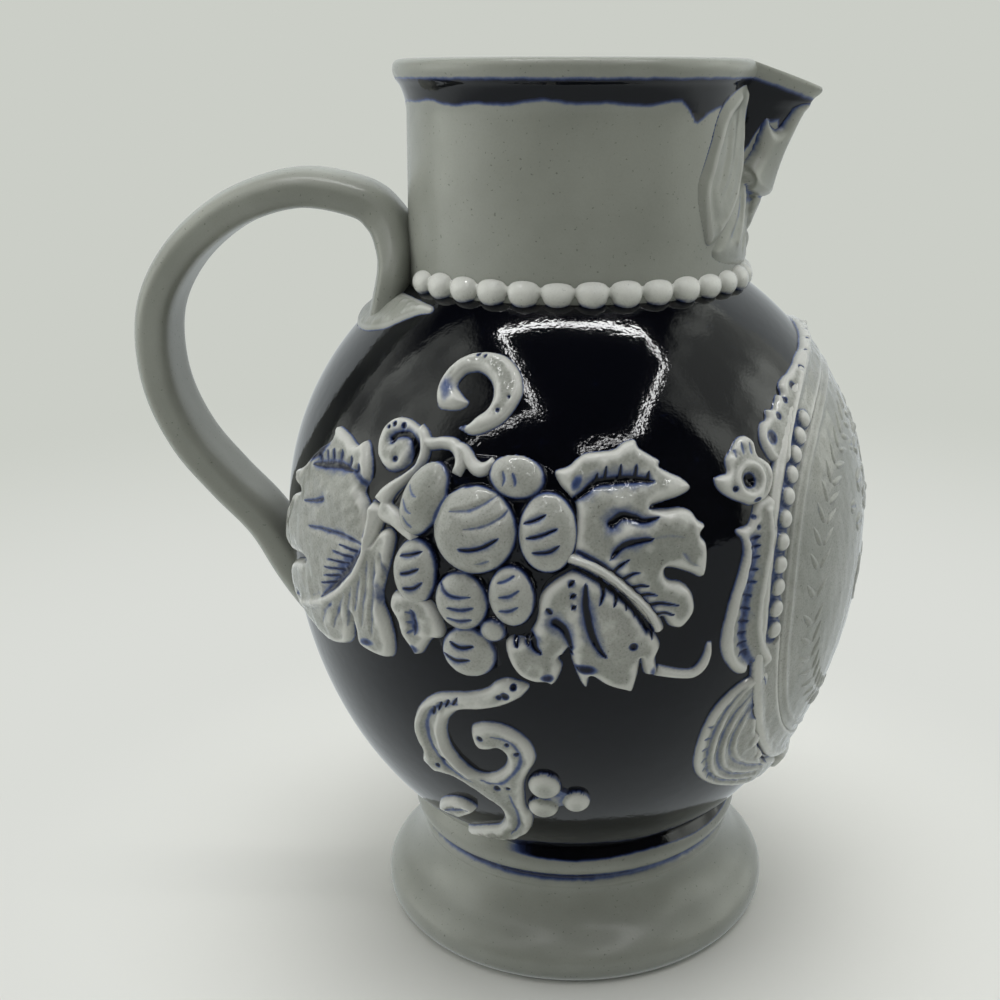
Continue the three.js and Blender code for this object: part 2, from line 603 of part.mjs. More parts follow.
// A two-handled urn of flowers, low on the panel
const URN = [
  [0, -22], [6.2, -22], [6.2, -20.2], [3, -18.6], [2.6, -16.4], [7.4, -12.2], [9.4, -7], [8, -3.2],
  [4.2, -1.2], [5, 0.6], [0, 0.6],
];
const BLOOMS = [
  [0, 8, 5.2, 5.2],
  [7.8, 5, 3.8, 3.8],
  [-7.8, 5, 3.8, 3.8],
  [5.2, 13, 3.4, 3.4],
  [-5.2, 13, 3.4, 3.4],
  [0, 15.6, 3.2, 3.2],
];
const BLOOM_STEM = [[0, 0, 3], [0, 4, 3]];

function medallionMotif() {
  const blooms = BLOOMS.map(([out, v, a, b]) => dome([FRONT + out, v, a, b], MOTIF_HEIGHT * 1.6));
  const stem = band(BLOOM_STEM.map(([out, v, width]) => [FRONT + out, v, width]));
  return unionOf([plate(bothHalves(URN, []), MOTIF_HEIGHT), plate(stem, MOTIF_HEIGHT), ...blooms]);
}

// Leaf under the spout: at rising shares of the neck's height below the lip, its half angle and how
// much thicker its middle is
const SPOUT_LEAF_ROWS = [[0.18, 38, 0], [0.34, 46, 0.1], [0.56, 49, 0.8], [0.78, 43, 0.5], [0.94, 34, 0.1]];

function spoutLeaf() {
  const columns = [-1, -0.72, -0.46, -0.26, -0.13, -0.05, 0.05, 0.13, 0.26, 0.46, 0.72, 1];
  const at = (share, angle, lift) => {
    const height = share * LIP_FOOT;
    const shape = spoutShape(angle, SPOUT_HALF_ANGLE);
    const radius = neckRadius(height) + SPOUT_REACH * spoutRise(height) * shape + lift;
    return new THREE.Vector3(radius * Math.cos(radians(angle)), radius * Math.sin(radians(angle)),
      NECK_LEVEL + height);
  };
  const lift = GAP * 1.5;
  const sections = SPOUT_LEAF_ROWS.map(([share, halfAngle, bulge]) => {
    const back = columns.map((column) => at(share, column * halfAngle, lift));
    const face = columns.map((column) => {
      const middle = Math.max(1 - Math.abs(column) * 2, 0);
      return at(share, column * halfAngle, lift + SPOUT_LEAF_HEIGHT + bulge * middle);
    });
    return [...face, ...back.reverse()];
  });
  return new LoftGeometry(sections, { capStart: true, capEnd: true });
}

// Assembly

const GREY_GLAZE = 0x9ea198;
const BEAD_GLAZE = 0xb4b4aa;
const COBALT_GLAZE = 0x14182c;
const RELIEF_GLAZE = 0xa6a69c;

function piece(name, geometry, colour, roughness = 0.3) {
  const tidy = bare(geometry).toNonIndexed();
  tidy.computeVertexNormals();
  const material = new THREE.MeshStandardMaterial({ color: colour, roughness, metalness: 0 });
  const mesh = new THREE.Mesh(tidy, material);
  mesh.name = name;
  return mesh;
}

const SIDE_RELIEF = {
  rear_leaf: () => clearOfGrapes(plate(REAR_LEAF, LEAF_HEIGHT), LEAF_HEIGHT),
  middle_leaf: () => clearOfGrapes(plate(MIDDLE_LEAF, LEAF_HEIGHT), LEAF_HEIGHT),
  front_upper_leaf: () => clearOfGrapes(plate(FRONT_UPPER_LEAF, LEAF_HEIGHT), LEAF_HEIGHT),
  front_lower_leaf: () => clearOfGrapes(plate(FRONT_LOWER_LEAF, LEAF_HEIGHT), LEAF_HEIGHT),
  grape_cluster: () => grapeCluster(),
  top_scroll: () => plate(band(TOP_SCROLL), SCROLL_HEIGHT),
  vine_tendril: () => clearOfGrapes(unionOf([
    plate(TENDRIL_CURL, SCROLL_HEIGHT),
    ...[TENDRIL_STEM, TENDRIL_LOOP, TENDRIL_REACH].map((line) => plate(band(line), SCROLL_HEIGHT)),
  ]), SCROLL_HEIGHT),
  hook_tendril: () => plate(band(HOOK), LEAF_HEIGHT),
  lower_scroll: () => unionOf([
    plate(band(LOWER_SCROLL), SCROLL_HEIGHT),
    plate(band(LOWER_SCROLL_CURL), SCROLL_HEIGHT),
  ]),
  berries: () => unionOf([
    plate(BERRY_BACKING, BACKING_HEIGHT),
    ...BERRIES.map((berry) => dome(berry, SCROLL_HEIGHT, 8)),
  ]),
  stem_leaf: () => plate(STEM_LEAF, LEAF_HEIGHT),
  frame_bar: () => plate(FRAME_BAR, FRAME_HEIGHT),
  frame_rosette: () => plate(ROSETTE, FRAME_HEIGHT).subtract(footprint(ROSETTE_EYE, FRAME_HEIGHT)),
  frame_beads: () => medallionBeads(),
  frame_volute: () => plate(VOLUTE, FRAME_HEIGHT),
};

const pitcher = new THREE.Group();

pitcher.add(piece('foot', foot(), GREY_GLAZE));
pitcher.add(piece('belly', belly(), COBALT_GLAZE, 0.15));
pitcher.add(piece('neck', neck(), GREY_GLAZE));
pitcher.add(piece('bead_collar', beadCollar(), BEAD_GLAZE));
pitcher.add(piece('handle', handle(), GREY_GLAZE));
pitcher.add(piece('spout_leaf', spoutLeaf(), GREY_GLAZE));

for (const side of ['right', 'left']) {
  for (const [name, flat] of Object.entries(SIDE_RELIEF)) {
    pitcher.add(piece(`${side}_${name}`, wrap(flat(), side), RELIEF_GLAZE));
  }
}

pitcher.add(piece('medallion_panel', wrap(medallionPanel(), 'right', GAP, PANEL_EDGE), RELIEF_GLAZE));
pitcher.add(piece('medallion_motif', wrap(medallionMotif(), 'right', GAP * 2 + PANEL_HEIGHT), RELIEF_GLAZE));
pitcher.add(piece('medallion_crest', wrap(plate(mirroredRing(CREST_OUTSIDE, CREST_INSIDE), FRAME_HEIGHT), 'right'),
  RELIEF_GLAZE));
pitcher.add(piece('medallion_shell', wrap(plate(mirroredRing(SHELL_OUTSIDE, SHELL_INSIDE), FRAME_HEIGHT), 'right'),
  RELIEF_GLAZE));

export default pitcher;
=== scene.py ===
"""A small salt-glazed stoneware pitcher: grey clay, cobalt ground and moulded vine relief."""

import math

import bpy
import numpy as np
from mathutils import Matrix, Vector


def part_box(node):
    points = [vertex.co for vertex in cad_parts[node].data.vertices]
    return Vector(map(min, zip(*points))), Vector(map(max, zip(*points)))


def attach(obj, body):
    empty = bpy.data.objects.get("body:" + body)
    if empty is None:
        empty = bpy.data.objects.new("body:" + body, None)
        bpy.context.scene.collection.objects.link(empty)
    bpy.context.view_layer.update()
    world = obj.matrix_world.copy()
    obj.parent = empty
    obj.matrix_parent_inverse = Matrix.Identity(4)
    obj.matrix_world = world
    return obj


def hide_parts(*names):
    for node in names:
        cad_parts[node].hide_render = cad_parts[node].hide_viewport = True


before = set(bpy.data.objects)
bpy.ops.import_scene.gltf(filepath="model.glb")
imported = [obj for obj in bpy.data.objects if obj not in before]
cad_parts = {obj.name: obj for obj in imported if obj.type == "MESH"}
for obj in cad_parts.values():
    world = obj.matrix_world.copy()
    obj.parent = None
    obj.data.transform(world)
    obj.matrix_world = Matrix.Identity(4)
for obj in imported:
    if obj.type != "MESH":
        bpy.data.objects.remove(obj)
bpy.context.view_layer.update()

MM = 0.001


def cad_size(node):
    """Lowest and highest corner of a CAD node, in millimetres."""
    low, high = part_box(node)
    return np.array(low) / MM, np.array(high) / MM


# Sizes in millimetres, taken from the frame

FOOT_LOW, FOOT_HIGH = cad_size("foot")
BELLY_LOW, BELLY_HIGH = cad_size("belly")
NECK_LOW, NECK_HIGH = cad_size("neck")
WAIST_LEVEL = BELLY_LOW[2]
NECK_LEVEL = BELLY_HIGH[2]
RIM_LEVEL = NECK_HIGH[2]
NECK_HEIGHT = RIM_LEVEL - NECK_LEVEL
BELLY_RADIUS = (BELLY_HIGH[0] - BELLY_LOW[0]) / 2
FOOT_RADIUS = (FOOT_HIGH[0] - FOOT_LOW[0]) / 2
LIP_RADIUS = -NECK_LOW[0]

# Driving dimensions that the frame doesn't give, in millimetres

BELLY_LEVEL = WAIST_LEVEL + 42
WAIST_RADIUS = 23
SHOULDER_RADIUS = 23.6
NECK_BASE_RADIUS = 22.6
NECK_TOP_RADIUS = 21.75
WALL = 3.6
FLOOR = 5
LIP_HEIGHT = 6
LIP_FOOT = NECK_HEIGHT - LIP_HEIGHT
SPOUT_REACH = NECK_HIGH[0] - LIP_RADIUS
CHANNEL_REACH = SPOUT_REACH + 0.6
SPOUT_HALF_ANGLE = 13.5
CHANNEL_HALF_ANGLE = 9.5
SPOUT_START = 6.5
SPOUT_DROP = 3.2
BEAD_COUNT = 34
BEAD_RADIUS = 1.7
CORD_RADIUS = 0.55
COLLAR_RADIUS = 22.1
HANDLE_WIDTH = 11
HANDLE_THICKNESS = 5.4

# The middle of the handle's strap: distance from the axis, height above the belly's top
HANDLE_ROUTE = [
    (25.4, -5.5), (24.3, -1.9), (23.4, 2.5), (23.7, 5.6), (25.1, 8.7), (28.3, 11.2), (36, 12.5),
    (44.2, 10.2), (50.9, 5.4), (55.3, -0.7), (56.9, -7), (56.3, -14.5), (53.4, -21.6), (48.9, -27.6),
    (44.2, -33), (40, -39.6), (34.3, -47),
]

LEAF_HEIGHT = 1.0
GRAPE_HEIGHT = 2.4
PANEL_HEIGHT = 0.45

# How far the back of the relief is let into its surface, and the grid it is drawn on
SUNK = 0.3
CELL = 0.18

# The relief is drawn flat: u round the belly from the middle of a flank, v up from the widest level
FIELD_RADIUS = 39.8
FIELD_ABOVE = 37.2
FIELD_BELOW = 46.5
FRONT = FIELD_RADIUS * math.pi / 2

# Where the medallion begins, how fast the flank turns away from the camera round the belly, and the
# steepest views in radians, round it and up it, that the drawing is corrected for
MEDALLION_EDGE = 30
VIEW_SPREAD = 1.27
STEEPEST_ROUND = 1.08
STEEPEST_UP = 1.1

# Near its ends the belly's wall slopes, so its thickness counts for more when it is measured level
END_SLOPE = 1.3

# Camera, in metres, degrees and pixels of a picture 1000 pixels wide

CAMERA_LEVEL = 0.118
CAMERA_DISTANCE = 0.177
CAMERA_PITCH = 18.0
FOCAL_PIXELS = 1306.0
AXIS_PIXELS = 75.0
PICTURE_PIXELS = 1000.0
SENSOR = 36.0


# Curves and fields


def smooth_line(points, steps, ring=False):
    """A Catmull-Rom curve through points, as an array."""
    p = np.asarray(points, float)
    if ring:
        p = np.concatenate([p[-1:], p, p[:2]])
    else:
        p = np.concatenate([2 * p[:1] - p[1:2], p, 2 * p[-1:] - p[-2:-1]])
    t = np.linspace(0, 1, steps, endpoint=False)[None, :, None]
    a, b, c, d = (p[k:len(p) - 3 + k, None, :] for k in range(4))
    square = 2 * a - 5 * b + 4 * c - d
    cube = 3 * b - a - 3 * c + d
    curve = 0.5 * (2 * b + (c - a) * t + square * t ** 2 + cube * t ** 3)
    curve = curve.reshape(-1, p.shape[1])
    return curve if ring else np.concatenate([curve, p[-2:-1]])


def closed(points):
    """A smooth closed outline through points."""
    return smooth_line(points, 5, ring=True)


def ellipse_ring(u, v, across, up, tilt=0.0, count=32):
    """The outline of an ellipse with these half sizes."""
    ring = np.linspace(0, 2 * math.pi, count, endpoint=False)
    return placed(across * np.cos(ring), up * np.sin(ring), u, v, math.radians(tilt))


def placed(x, y, u, v, turn):
    """The points x, y turned by an angle and moved to u, v."""
    return np.stack([u + x * math.cos(turn) - y * math.sin(turn),
                     v + x * math.sin(turn) + y * math.cos(turn)], 1)


def travelled(line):
    """The distance along a line to each of its points."""
    return np.concatenate([[0], np.cumsum(np.hypot(*np.diff(line, axis=0).T))])


def ramp(value, low, high):
    """0 below low, 1 above high, smooth between. low may be the larger."""
    t = np.clip((value - low) / (high - low), 0, 1)
    return t * t * (3 - 2 * t)


def power(value, exponent):
    """The size of a value raised to a power, with the value's own sign."""
    return np.sign(value) * np.abs(value) ** exponent


def hill(distance, width):
    """1 in the middle, falling off as a bell."""
    return np.exp(-(distance / width) ** 2)


def line_distance(u, v, line):
    """Distance from each point to a line, and how far along the line the nearest point lies, 0 to 1."""
    line = np.asarray(line, float)
    lengths = np.linalg.norm(np.diff(line, axis=0), axis=1)
    starts = np.concatenate([[0], np.cumsum(lengths)])
    best = np.full(u.shape, 1e9)
    along = np.zeros(u.shape)
    for k, length in enumerate(lengths):
        if length < 1e-9:
            continue
        (au, av), (bu, bv) = line[k], line[k + 1]
        share = np.clip(((u - au) * (bu - au) + (v - av) * (bv - av)) / length ** 2, 0, 1)
        distance = np.hypot(u - au - share * (bu - au), v - av - share * (bv - av))
        near = distance < best
        best = np.where(near, distance, best)
        along = np.where(near, (starts[k] + share * length) / starts[-1], along)
    return best, along


def inside(u, v, outline):
    """True where a point lies inside a closed outline."""
    result = np.zeros(u.shape, bool)
    for (au, av), (bu, bv) in zip(outline, np.roll(outline, -1, axis=0)):
        if av == bv:
            continue
        crosses = (av > v) != (bv > v)
        result ^= crosses & (u < (bu - au) * (v - av) / (bv - av) + au)
    return result


def depth_inside(u, v, outline):
    """Distance from each point to an outline, positive inside it."""
    ring = np.concatenate([outline, outline[:1]])
    distance, _ = line_distance(u, v, ring)
    return np.where(inside(u, v, outline), distance, -distance)


def band(line):
    """The outline of a band along a smooth line of (u, v, width)."""
    line = smooth_line(line, 6)
    along = np.gradient(line[:, :2], axis=0)
    along /= np.linalg.norm(along, axis=1)[:, None]
    across = np.stack([-along[:, 1], along[:, 0]], 1) * line[:, 2:] / 2
    return np.concatenate([line[:, :2] + across, (line[:, :2] - across)[::-1]])


def mirrored(half):
    """A half outline from the middle line out and back, given as (out, v), with its mirror image."""
    half = np.asarray(half, float)
    other = flipped(half[(half[:, 0] > 0)][::-1], -1)
    return np.concatenate([half, other])


def flipped(line, side):
    """The line itself for side 1, its mirror image for side -1."""
    return np.array(line, float) * (side, 1)


# The belly's surface


def belly_arc(up, count=400, offset=0.0):
    """Radius and height along the outline, from the widest level to the shoulder or the waist.

    Measured level, the offset is larger where the wall slopes.
    """
    rise = NECK_LEVEL - BELLY_LEVEL if up else BELLY_LEVEL - WAIST_LEVEL
    widest = BELLY_RADIUS + offset
    end_radius = (SHOULDER_RADIUS if up else WAIST_RADIUS) + offset * END_SLOPE
    reach = rise / math.sqrt(1 - (end_radius / widest) ** 2)
    angle = np.linspace(0, math.asin(rise / reach), count)
    height = BELLY_LEVEL + reach * np.sin(angle) * (1 if up else -1)
    return widest * np.cos(angle), height


def arc_table():
    """Drawn height v, radius, height and the outward normal along the belly's outline."""
    rows = []
    for up, field, turn in ((False, FIELD_BELOW, -1), (True, FIELD_ABOVE, 1)):
        radius, height = belly_arc(up)
        length = travelled(np.stack([radius, height], 1))
        drawn = length / length[-1] * field * turn
        dr, dz = np.gradient(radius), np.gradient(height)
        size = np.hypot(dr, dz)
        rows.append(np.stack([drawn, radius, height, dz / size * turn, -dr / size * turn], 1))
    below, above = rows
    return np.concatenate([below[:0:-1], above])


BELLY_TABLE = arc_table()


def belly_surface(u, v, h):
    """Points h out from the belly at drawn places u, v."""
    drawn = BELLY_TABLE[:, 0]
    radius, height, out, up = (np.interp(v, drawn, BELLY_TABLE[:, k]) for k in range(1, 5))
    radius = radius + h * out
    angle = u / FIELD_RADIUS
    return np.stack([radius * np.sin(angle), -radius * np.cos(angle), height + h * up], -1)


def upright(u, v, lean):
    """Where drawn places belong when the form stands lean millimetres out.

    The drawing follows the pitcher as it is seen from one flank and a little above, so a raised form
    was drawn further round and further down than it is. The medallion's far half mirrors the near one.
    """
    beyond = u > FRONT
    near = np.where(beyond, 2 * FRONT - u, u)
    turned_away = np.clip(VIEW_SPREAD * near / FIELD_RADIUS, -STEEPEST_ROUND, STEEPEST_ROUND)
    share = 1 - np.clip((near - MEDALLION_EDGE) / (FRONT - MEDALLION_EDGE), 0, 1)
    near = near - lean * np.tan(turned_away) * share
    drawn = BELLY_TABLE[:, 0]
    radius, height, up = (np.interp(v, drawn, BELLY_TABLE[:, k]) for k in (1, 2, 4))
    seen_from = np.arctan2(CAMERA_LEVEL / MM - height, CAMERA_DISTANCE / MM - radius)
    v = v + lean * np.tan(np.clip(seen_from - np.arcsin(up), -STEEPEST_UP, STEEPEST_UP))
    return np.where(beyond, 2 * FRONT - near, near), v


# The neck's surface


def spout_shape(angle, half_angle):
    """How far the spout pushes the wall out: a V with a rounded tip, 1 in the middle."""
    rounding = 0.15
    across = np.minimum(np.abs(angle) / half_angle, 1)
    slope = math.hypot(1, rounding) - np.hypot(across, rounding)
    return slope / (math.hypot(1, rounding) - rounding)


def spout_rise(height):
    """How much of the spout stands out at a height above the neck's foot, 0 to 1."""
    full = NECK_HEIGHT - LIP_HEIGHT * 0.75
    return np.clip((height - SPOUT_START) / (full - SPOUT_START), 0, 1) ** 1.5


def neck_radius(height):
    """The wall's outside: it narrows upward from its foot, and flares into the lip."""
    share = np.sqrt(np.clip(height / LIP_FOOT, 0, 1))
    flare = np.interp(height, [LIP_FOOT, NECK_HEIGHT - 3.3, NECK_HEIGHT - 1.4],
                      [0, 0.6, LIP_RADIUS - NECK_TOP_RADIUS])
    return NECK_BASE_RADIUS + (NECK_TOP_RADIUS - NECK_BASE_RADIUS) * share + flare


def lip_profile():
    """The lip's outside, over the top and down inside: radius and height above the neck's foot."""
    flare = LIP_RADIUS - NECK_TOP_RADIUS
    inner = NECK_TOP_RADIUS - WALL * 0.85
    points = [
        (NECK_TOP_RADIUS, LIP_FOOT),
        (NECK_TOP_RADIUS + flare * 0.12, LIP_FOOT + LIP_HEIGHT * 0.22),
        (NECK_TOP_RADIUS + flare * 0.42, LIP_FOOT + LIP_HEIGHT * 0.45),
        (NECK_TOP_RADIUS + flare * 0.8, LIP_FOOT + LIP_HEIGHT * 0.6),
        (LIP_RADIUS, LIP_FOOT + LIP_HEIGHT * 0.77),
        (LIP_RADIUS - flare * 0.12, LIP_FOOT + LIP_HEIGHT * 0.93),
        (LIP_RADIUS - flare * 0.6, NECK_HEIGHT),
        (inner + WALL * 0.62, NECK_HEIGHT),
        (inner + WALL * 0.3, NECK_HEIGHT - LIP_HEIGHT * 0.1),
        (inner + WALL * 0.08, NECK_HEIGHT - LIP_HEIGHT * 0.32),
        (inner, LIP_FOOT + LIP_HEIGHT * 0.3),
    ]
    return smooth_line(points, 6)


def neck_place(angle, radius, height, reach, half_angle):
    """A point of the neck's wall, pushed out into the spout. The angle is from the spout, in degrees."""
    out = radius + reach * spout_rise(height) * spout_shape(angle, half_angle)
    lip = np.clip((height - LIP_FOOT) / LIP_HEIGHT, 0, 1)
    up = NECK_LEVEL + height - SPOUT_DROP * lip * spout_shape(angle, SPOUT_HALF_ANGLE)
    turn = np.radians(angle)
    return np.stack([out * np.cos(turn), out * np.sin(turn), up], -1)


def neck_surface(a, w, h):
    """Points h out from the neck at drawn places: a round it from the spout, w above its foot."""
    def at(a, w):
        angle = np.degrees(a / NECK_TOP_RADIUS)
        return neck_place(angle, neck_radius(w), w, SPOUT_REACH, SPOUT_HALF_ANGLE)

    small = 0.35
    across = at(a + small, w) - at(a - small, w)
    upward = at(a, w + small) - at(a, w - small)
    normal = np.cross(across, upward)
    normal /= np.linalg.norm(normal, axis=-1, keepdims=True)
    return at(a, w) + normal * np.asarray(h)[..., None]


# Meshes


def grid_faces(rows, columns, close_rows=False, close_columns=False):
    """The corner numbers of the quads of a grid of points, stored row by row."""
    r, c = np.meshgrid(np.arange(rows if close_rows else rows - 1),
                       np.arange(columns if close_columns else columns - 1), indexing="ij")
    up, along = (r + 1) % rows, (c + 1) % columns
    quads = np.stack([r * columns + c, r * columns + along, up * columns + along, up * columns + c], -1)
    return quads.reshape(-1, 4)


def make_piece(name, points, faces, material, nodes, fields, crease=None):
    """A smooth mesh from points in millimetres that rides on the body and stands for some CAD nodes."""
    mesh = bpy.data.meshes.new(name)
    mesh.from_pydata((np.asarray(points) * MM).tolist(), [], [list(map(int, face)) for face in faces])
    mesh.polygons.foreach_set("use_smooth", [True] * len(mesh.polygons))
    if crease is not None:
        mesh.set_sharp_from_angle(angle=math.radians(crease))
    for field, values in fields.items():
        attribute = mesh.attributes.new(field, "FLOAT", "POINT")
        attribute.data.foreach_set("value", np.asarray(values, np.float32).ravel())
    mesh.materials.append(material)
    mesh.update()
    piece = bpy.data.objects.new(name, mesh)
    bpy.context.scene.collection.objects.link(piece)
    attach(piece, "root")
    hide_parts(*nodes)


def swept(rows):
    """Points and faces of a bar with a closed section, given as the section's points at each place."""
    corners = len(rows[0])
    points = np.concatenate(rows)
    faces = grid_faces(len(rows), corners, close_columns=True).tolist()
    faces.append(list(range(corners))[::-1])
    faces.append(list(range(len(points) - corners, len(points))))
    return points, [face[::-1] for face in faces]


def turned(profile, columns=256):
    """Points and faces of a closed profile turned about the axis. Ends on the axis become fans."""
    profile = np.asarray(profile, float)
    angle = np.linspace(0, 2 * math.pi, columns, endpoint=False)
    capped = profile[0, 0] < 1e-9
    body = profile[1:-1] if capped else profile
    points = np.stack([body[:, :1] * np.cos(angle), body[:, :1] * np.sin(angle),
                       np.repeat(body[:, 1:], columns, 1)], -1).reshape(-1, 3)
    faces = grid_faces(len(body), columns, close_rows=not capped, close_columns=True).tolist()
    if capped:
        first, last = len(points), len(points) + 1
        points = np.concatenate([points, [[0, 0, profile[0, 1]], [0, 0, profile[-1, 1]]]])
        top = (len(body) - 1) * columns
        for k in range(columns):
            after = (k + 1) % columns
            faces.append([first, after, k])
            faces.append([last, top + k, top + after])
    return points, faces


# Materials


def new_material(name):
    material = bpy.data.materials.new(name)
    material.use_nodes = True
    material.node_tree.nodes.clear()
    return material, Tree(material.node_tree)


def colour(hex_code):
    """A linear colour from a written one."""
    parts = [int(hex_code[k:k + 2], 16) / 255 for k in (0, 2, 4)]
    linear = [part / 12.92 if part <= 0.04045 else ((part + 0.055) / 1.055) ** 2.4 for part in parts]
    return (*linear, 1)


class Tree:
    """Builds a node tree. A value is a number, a colour or the output of another node."""

    def __init__(self, tree):
        self.nodes = tree.nodes
        self.links = tree.links

    def feed(self, socket, value):
        if isinstance(value, bpy.types.NodeSocket):
            self.links.new(value, socket)
        else:
            socket.default_value = value

    def add(self, kind, **inputs):
        """A new node with values on its inputs. An underscore stands for a space in an input's name."""
        node = self.nodes.new(kind)
        for name, value in inputs.items():
            self.feed(node.inputs[name.replace("_", " ")], value)
        return node

    def field(self, name):
        node = self.nodes.new("ShaderNodeAttribute")
        node.attribute_name = name
        return node.outputs["Fac"]

    def noise(self, place, scale, detail=2.0, roughness=0.5):
        node = self.add("ShaderNodeTexNoise", Vector=place, Scale=scale, Detail=detail, Roughness=roughness)
        return node.outputs["Fac"]

    def math(self, operation, *values):
        node = self.nodes.new("ShaderNodeMath")
        node.operation = operation
        for socket, value in zip(node.inputs, values):
            self.feed(socket, value)
        return node.outputs[0]

    def product(self, *values):
        result = values[0]
        for value in values[1:]:
            result = self.math("MULTIPLY", result, value)
        return result

    def total(self, *values):
        result = values[0]
        for value in values[1:]:
            result = self.math("ADD", result, value)
        return result

    def ramp(self, value, low, high, to_low=0.0, to_high=1.0):
        """Smooth from one value at low to the other at high."""
        node = self.nodes.new("ShaderNodeMapRange")
        node.interpolation_type = "SMOOTHSTEP"
        for name, number in (("Value", value), ("From Min", low), ("From Max", high),
                             ("To Min", to_low), ("To Max", to_high)):
            self.feed(node.inputs[name], number)
        return node.outputs["Result"]

    def mix(self, share, first, second):
        """A blend of two colours."""
        node = self.nodes.new("ShaderNodeMix")
        node.data_type = "RGBA"
        for number, value in ((0, share), (6, first), (7, second)):
            self.feed(node.inputs[number], value)
        return node.outputs[2]

    def blend(self, share, first, second):
        """A blend of two shaders."""
        node = self.nodes.new("ShaderNodeMixShader")
        for socket, value in zip(node.inputs, (share, first, second)):
            self.feed(socket, value)
        return node.outputs["Shader"]

    def show(self, surface):
        """Gives a material its surface."""
        self.add("ShaderNodeOutputMaterial", Surface=surface)


# How fine the noises of clay and glaze are, per metre, and the glaze's bump in millimetres
CLOUD_SCALE = 90
SAND_SCALE = 3600
SPECK_SCALE = 2600
BRUSH_SCALE = 700
PEEL_SCALE = 750
RIPPLE_SCALE = 170
BUMP_HEIGHT = 0.4
BUMP_STRENGTH = 0.2
GLAZE_ROUGHNESS = 0.06

SAND = colour("6F706A")
IRON = colour("45443E")
# Pale tone of the rim field: partly glaze run thin, partly a painted highlight
PALE_THIN_GLAZE_AND_HIGHLIGHT = colour("DBDCD6")

# Where each blue begins and is full, as a share of the cobalt held
COBALT_DEPTHS = [
    (0.12, 0.5, colour("485880")),
    (0.42, 0.7, colour("1D2544")),
    (0.66, 0.95, colour("07080D")),
]


def clay_tone(tree, place, sand, speck, clay, clay_light, grain):
    """The clay's clouds, fine sand and dark iron specks, and a pale tone where the field "rim" rises, partly
    glaze run thin and partly a painted highlight.
    """
    cloud = tree.noise(place, CLOUD_SCALE, 3)
    tone = tree.mix(tree.ramp(cloud, 0.3, 0.7), clay, clay_light)
    tone = tree.mix(tree.product(tree.ramp(sand, 0.4, 0.8), 0.42 * grain), tone, SAND)
    tone = tree.mix(tree.product(tree.ramp(speck, 0.71, 0.76), 0.5), tone, IRON)
    return tree.mix(tree.field("rim"), tone, PALE_THIN_GLAZE_AND_HIGHLIGHT)


def cobalt_strength(tree, place):
    """How much cobalt the clay holds, brushed on where the field "cobalt" rises."""
    painted = tree.field("cobalt")
    brush = tree.noise(place, BRUSH_SCALE, 3, 0.6)
    wave = tree.product(tree.math("SUBTRACT", brush, 0.5), 0.45)
    return tree.product(tree.total(painted, wave), tree.ramp(painted, 0.02, 0.1))


def glaze_relief(tree, place, sand, speck, bare, grain):
    """Orange peel on all of the glaze, and sand grain on the clay alone."""
    peel = tree.noise(place, PEEL_SCALE, 2)
    ripple = tree.noise(place, RIPPLE_SCALE, 2)
    height = tree.total(
        tree.product(sand, tree.product(bare, 0.12 * grain)),
        tree.product(peel, 0.22), tree.product(ripple, 0.8), tree.product(speck, 0.1))
    bump = tree.add("ShaderNodeBump", Strength=BUMP_STRENGTH, Distance=BUMP_HEIGHT * MM, Height=height)
    return bump.outputs["Normal"]


def glaze(name, clay, clay_light, clay_roughness, grain):
    """Salt glaze over grey clay and cobalt. The cobalt is a thin blue edge that deepens to near black."""
    material, tree = new_material(name)
    place = tree.add("ShaderNodeTexCoord").outputs["Object"]
    sand = tree.noise(place, SAND_SCALE, 2)
    speck = tree.noise(place, SPECK_SCALE, 1)
    tone = clay_tone(tree, place, sand, speck, colour(clay), colour(clay_light), grain)
    held = cobalt_strength(tree, place)
    for low, high, blue in COBALT_DEPTHS:
        tone = tree.mix(tree.ramp(held, low, high), tone, blue)
    bare = tree.math("SUBTRACT", 1.0, tree.ramp(held, 0.35, 0.8))
    roughness = GLAZE_ROUGHNESS
    if clay_roughness:
        roughness = tree.total(tree.product(bare, clay_roughness), GLAZE_ROUGHNESS)
    shader = tree.add("ShaderNodeBsdfPrincipled", Base_Color=tone, Roughness=roughness, IOR=1.5,
                      Normal=glaze_relief(tree, place, sand, speck, bare, grain))
    tree.show(shader.outputs["BSDF"])
    return material


# The clay's two tones, how rough it is under its glaze, and how sandy
BODY_GLAZE = glaze("body_glaze", "8D9087", "969990", 0.2, 0.2)
RELIEF_GLAZE = glaze("relief_glaze", "8E9189", "9EA099", 0.0, 1.1)
# The beads' clay is painted far paler than the body's: a painted highlight for the light the beads catch
BEAD_GLAZE = glaze("bead_glaze", "CACCC4", "D5D7CF", 0.0, 0.4)


# Foot

# Level and width of the cobalt line in the foot's throat, the levels between which the paint above
# it fades in, and a radius between the foot's inside and its outside
THROAT_LEVEL = 13.6
THROAT_WIDTH = 0.62
RUN_LOW = 16.5
RUN_HIGH = 17.2
FOOT_INSIDE = 21


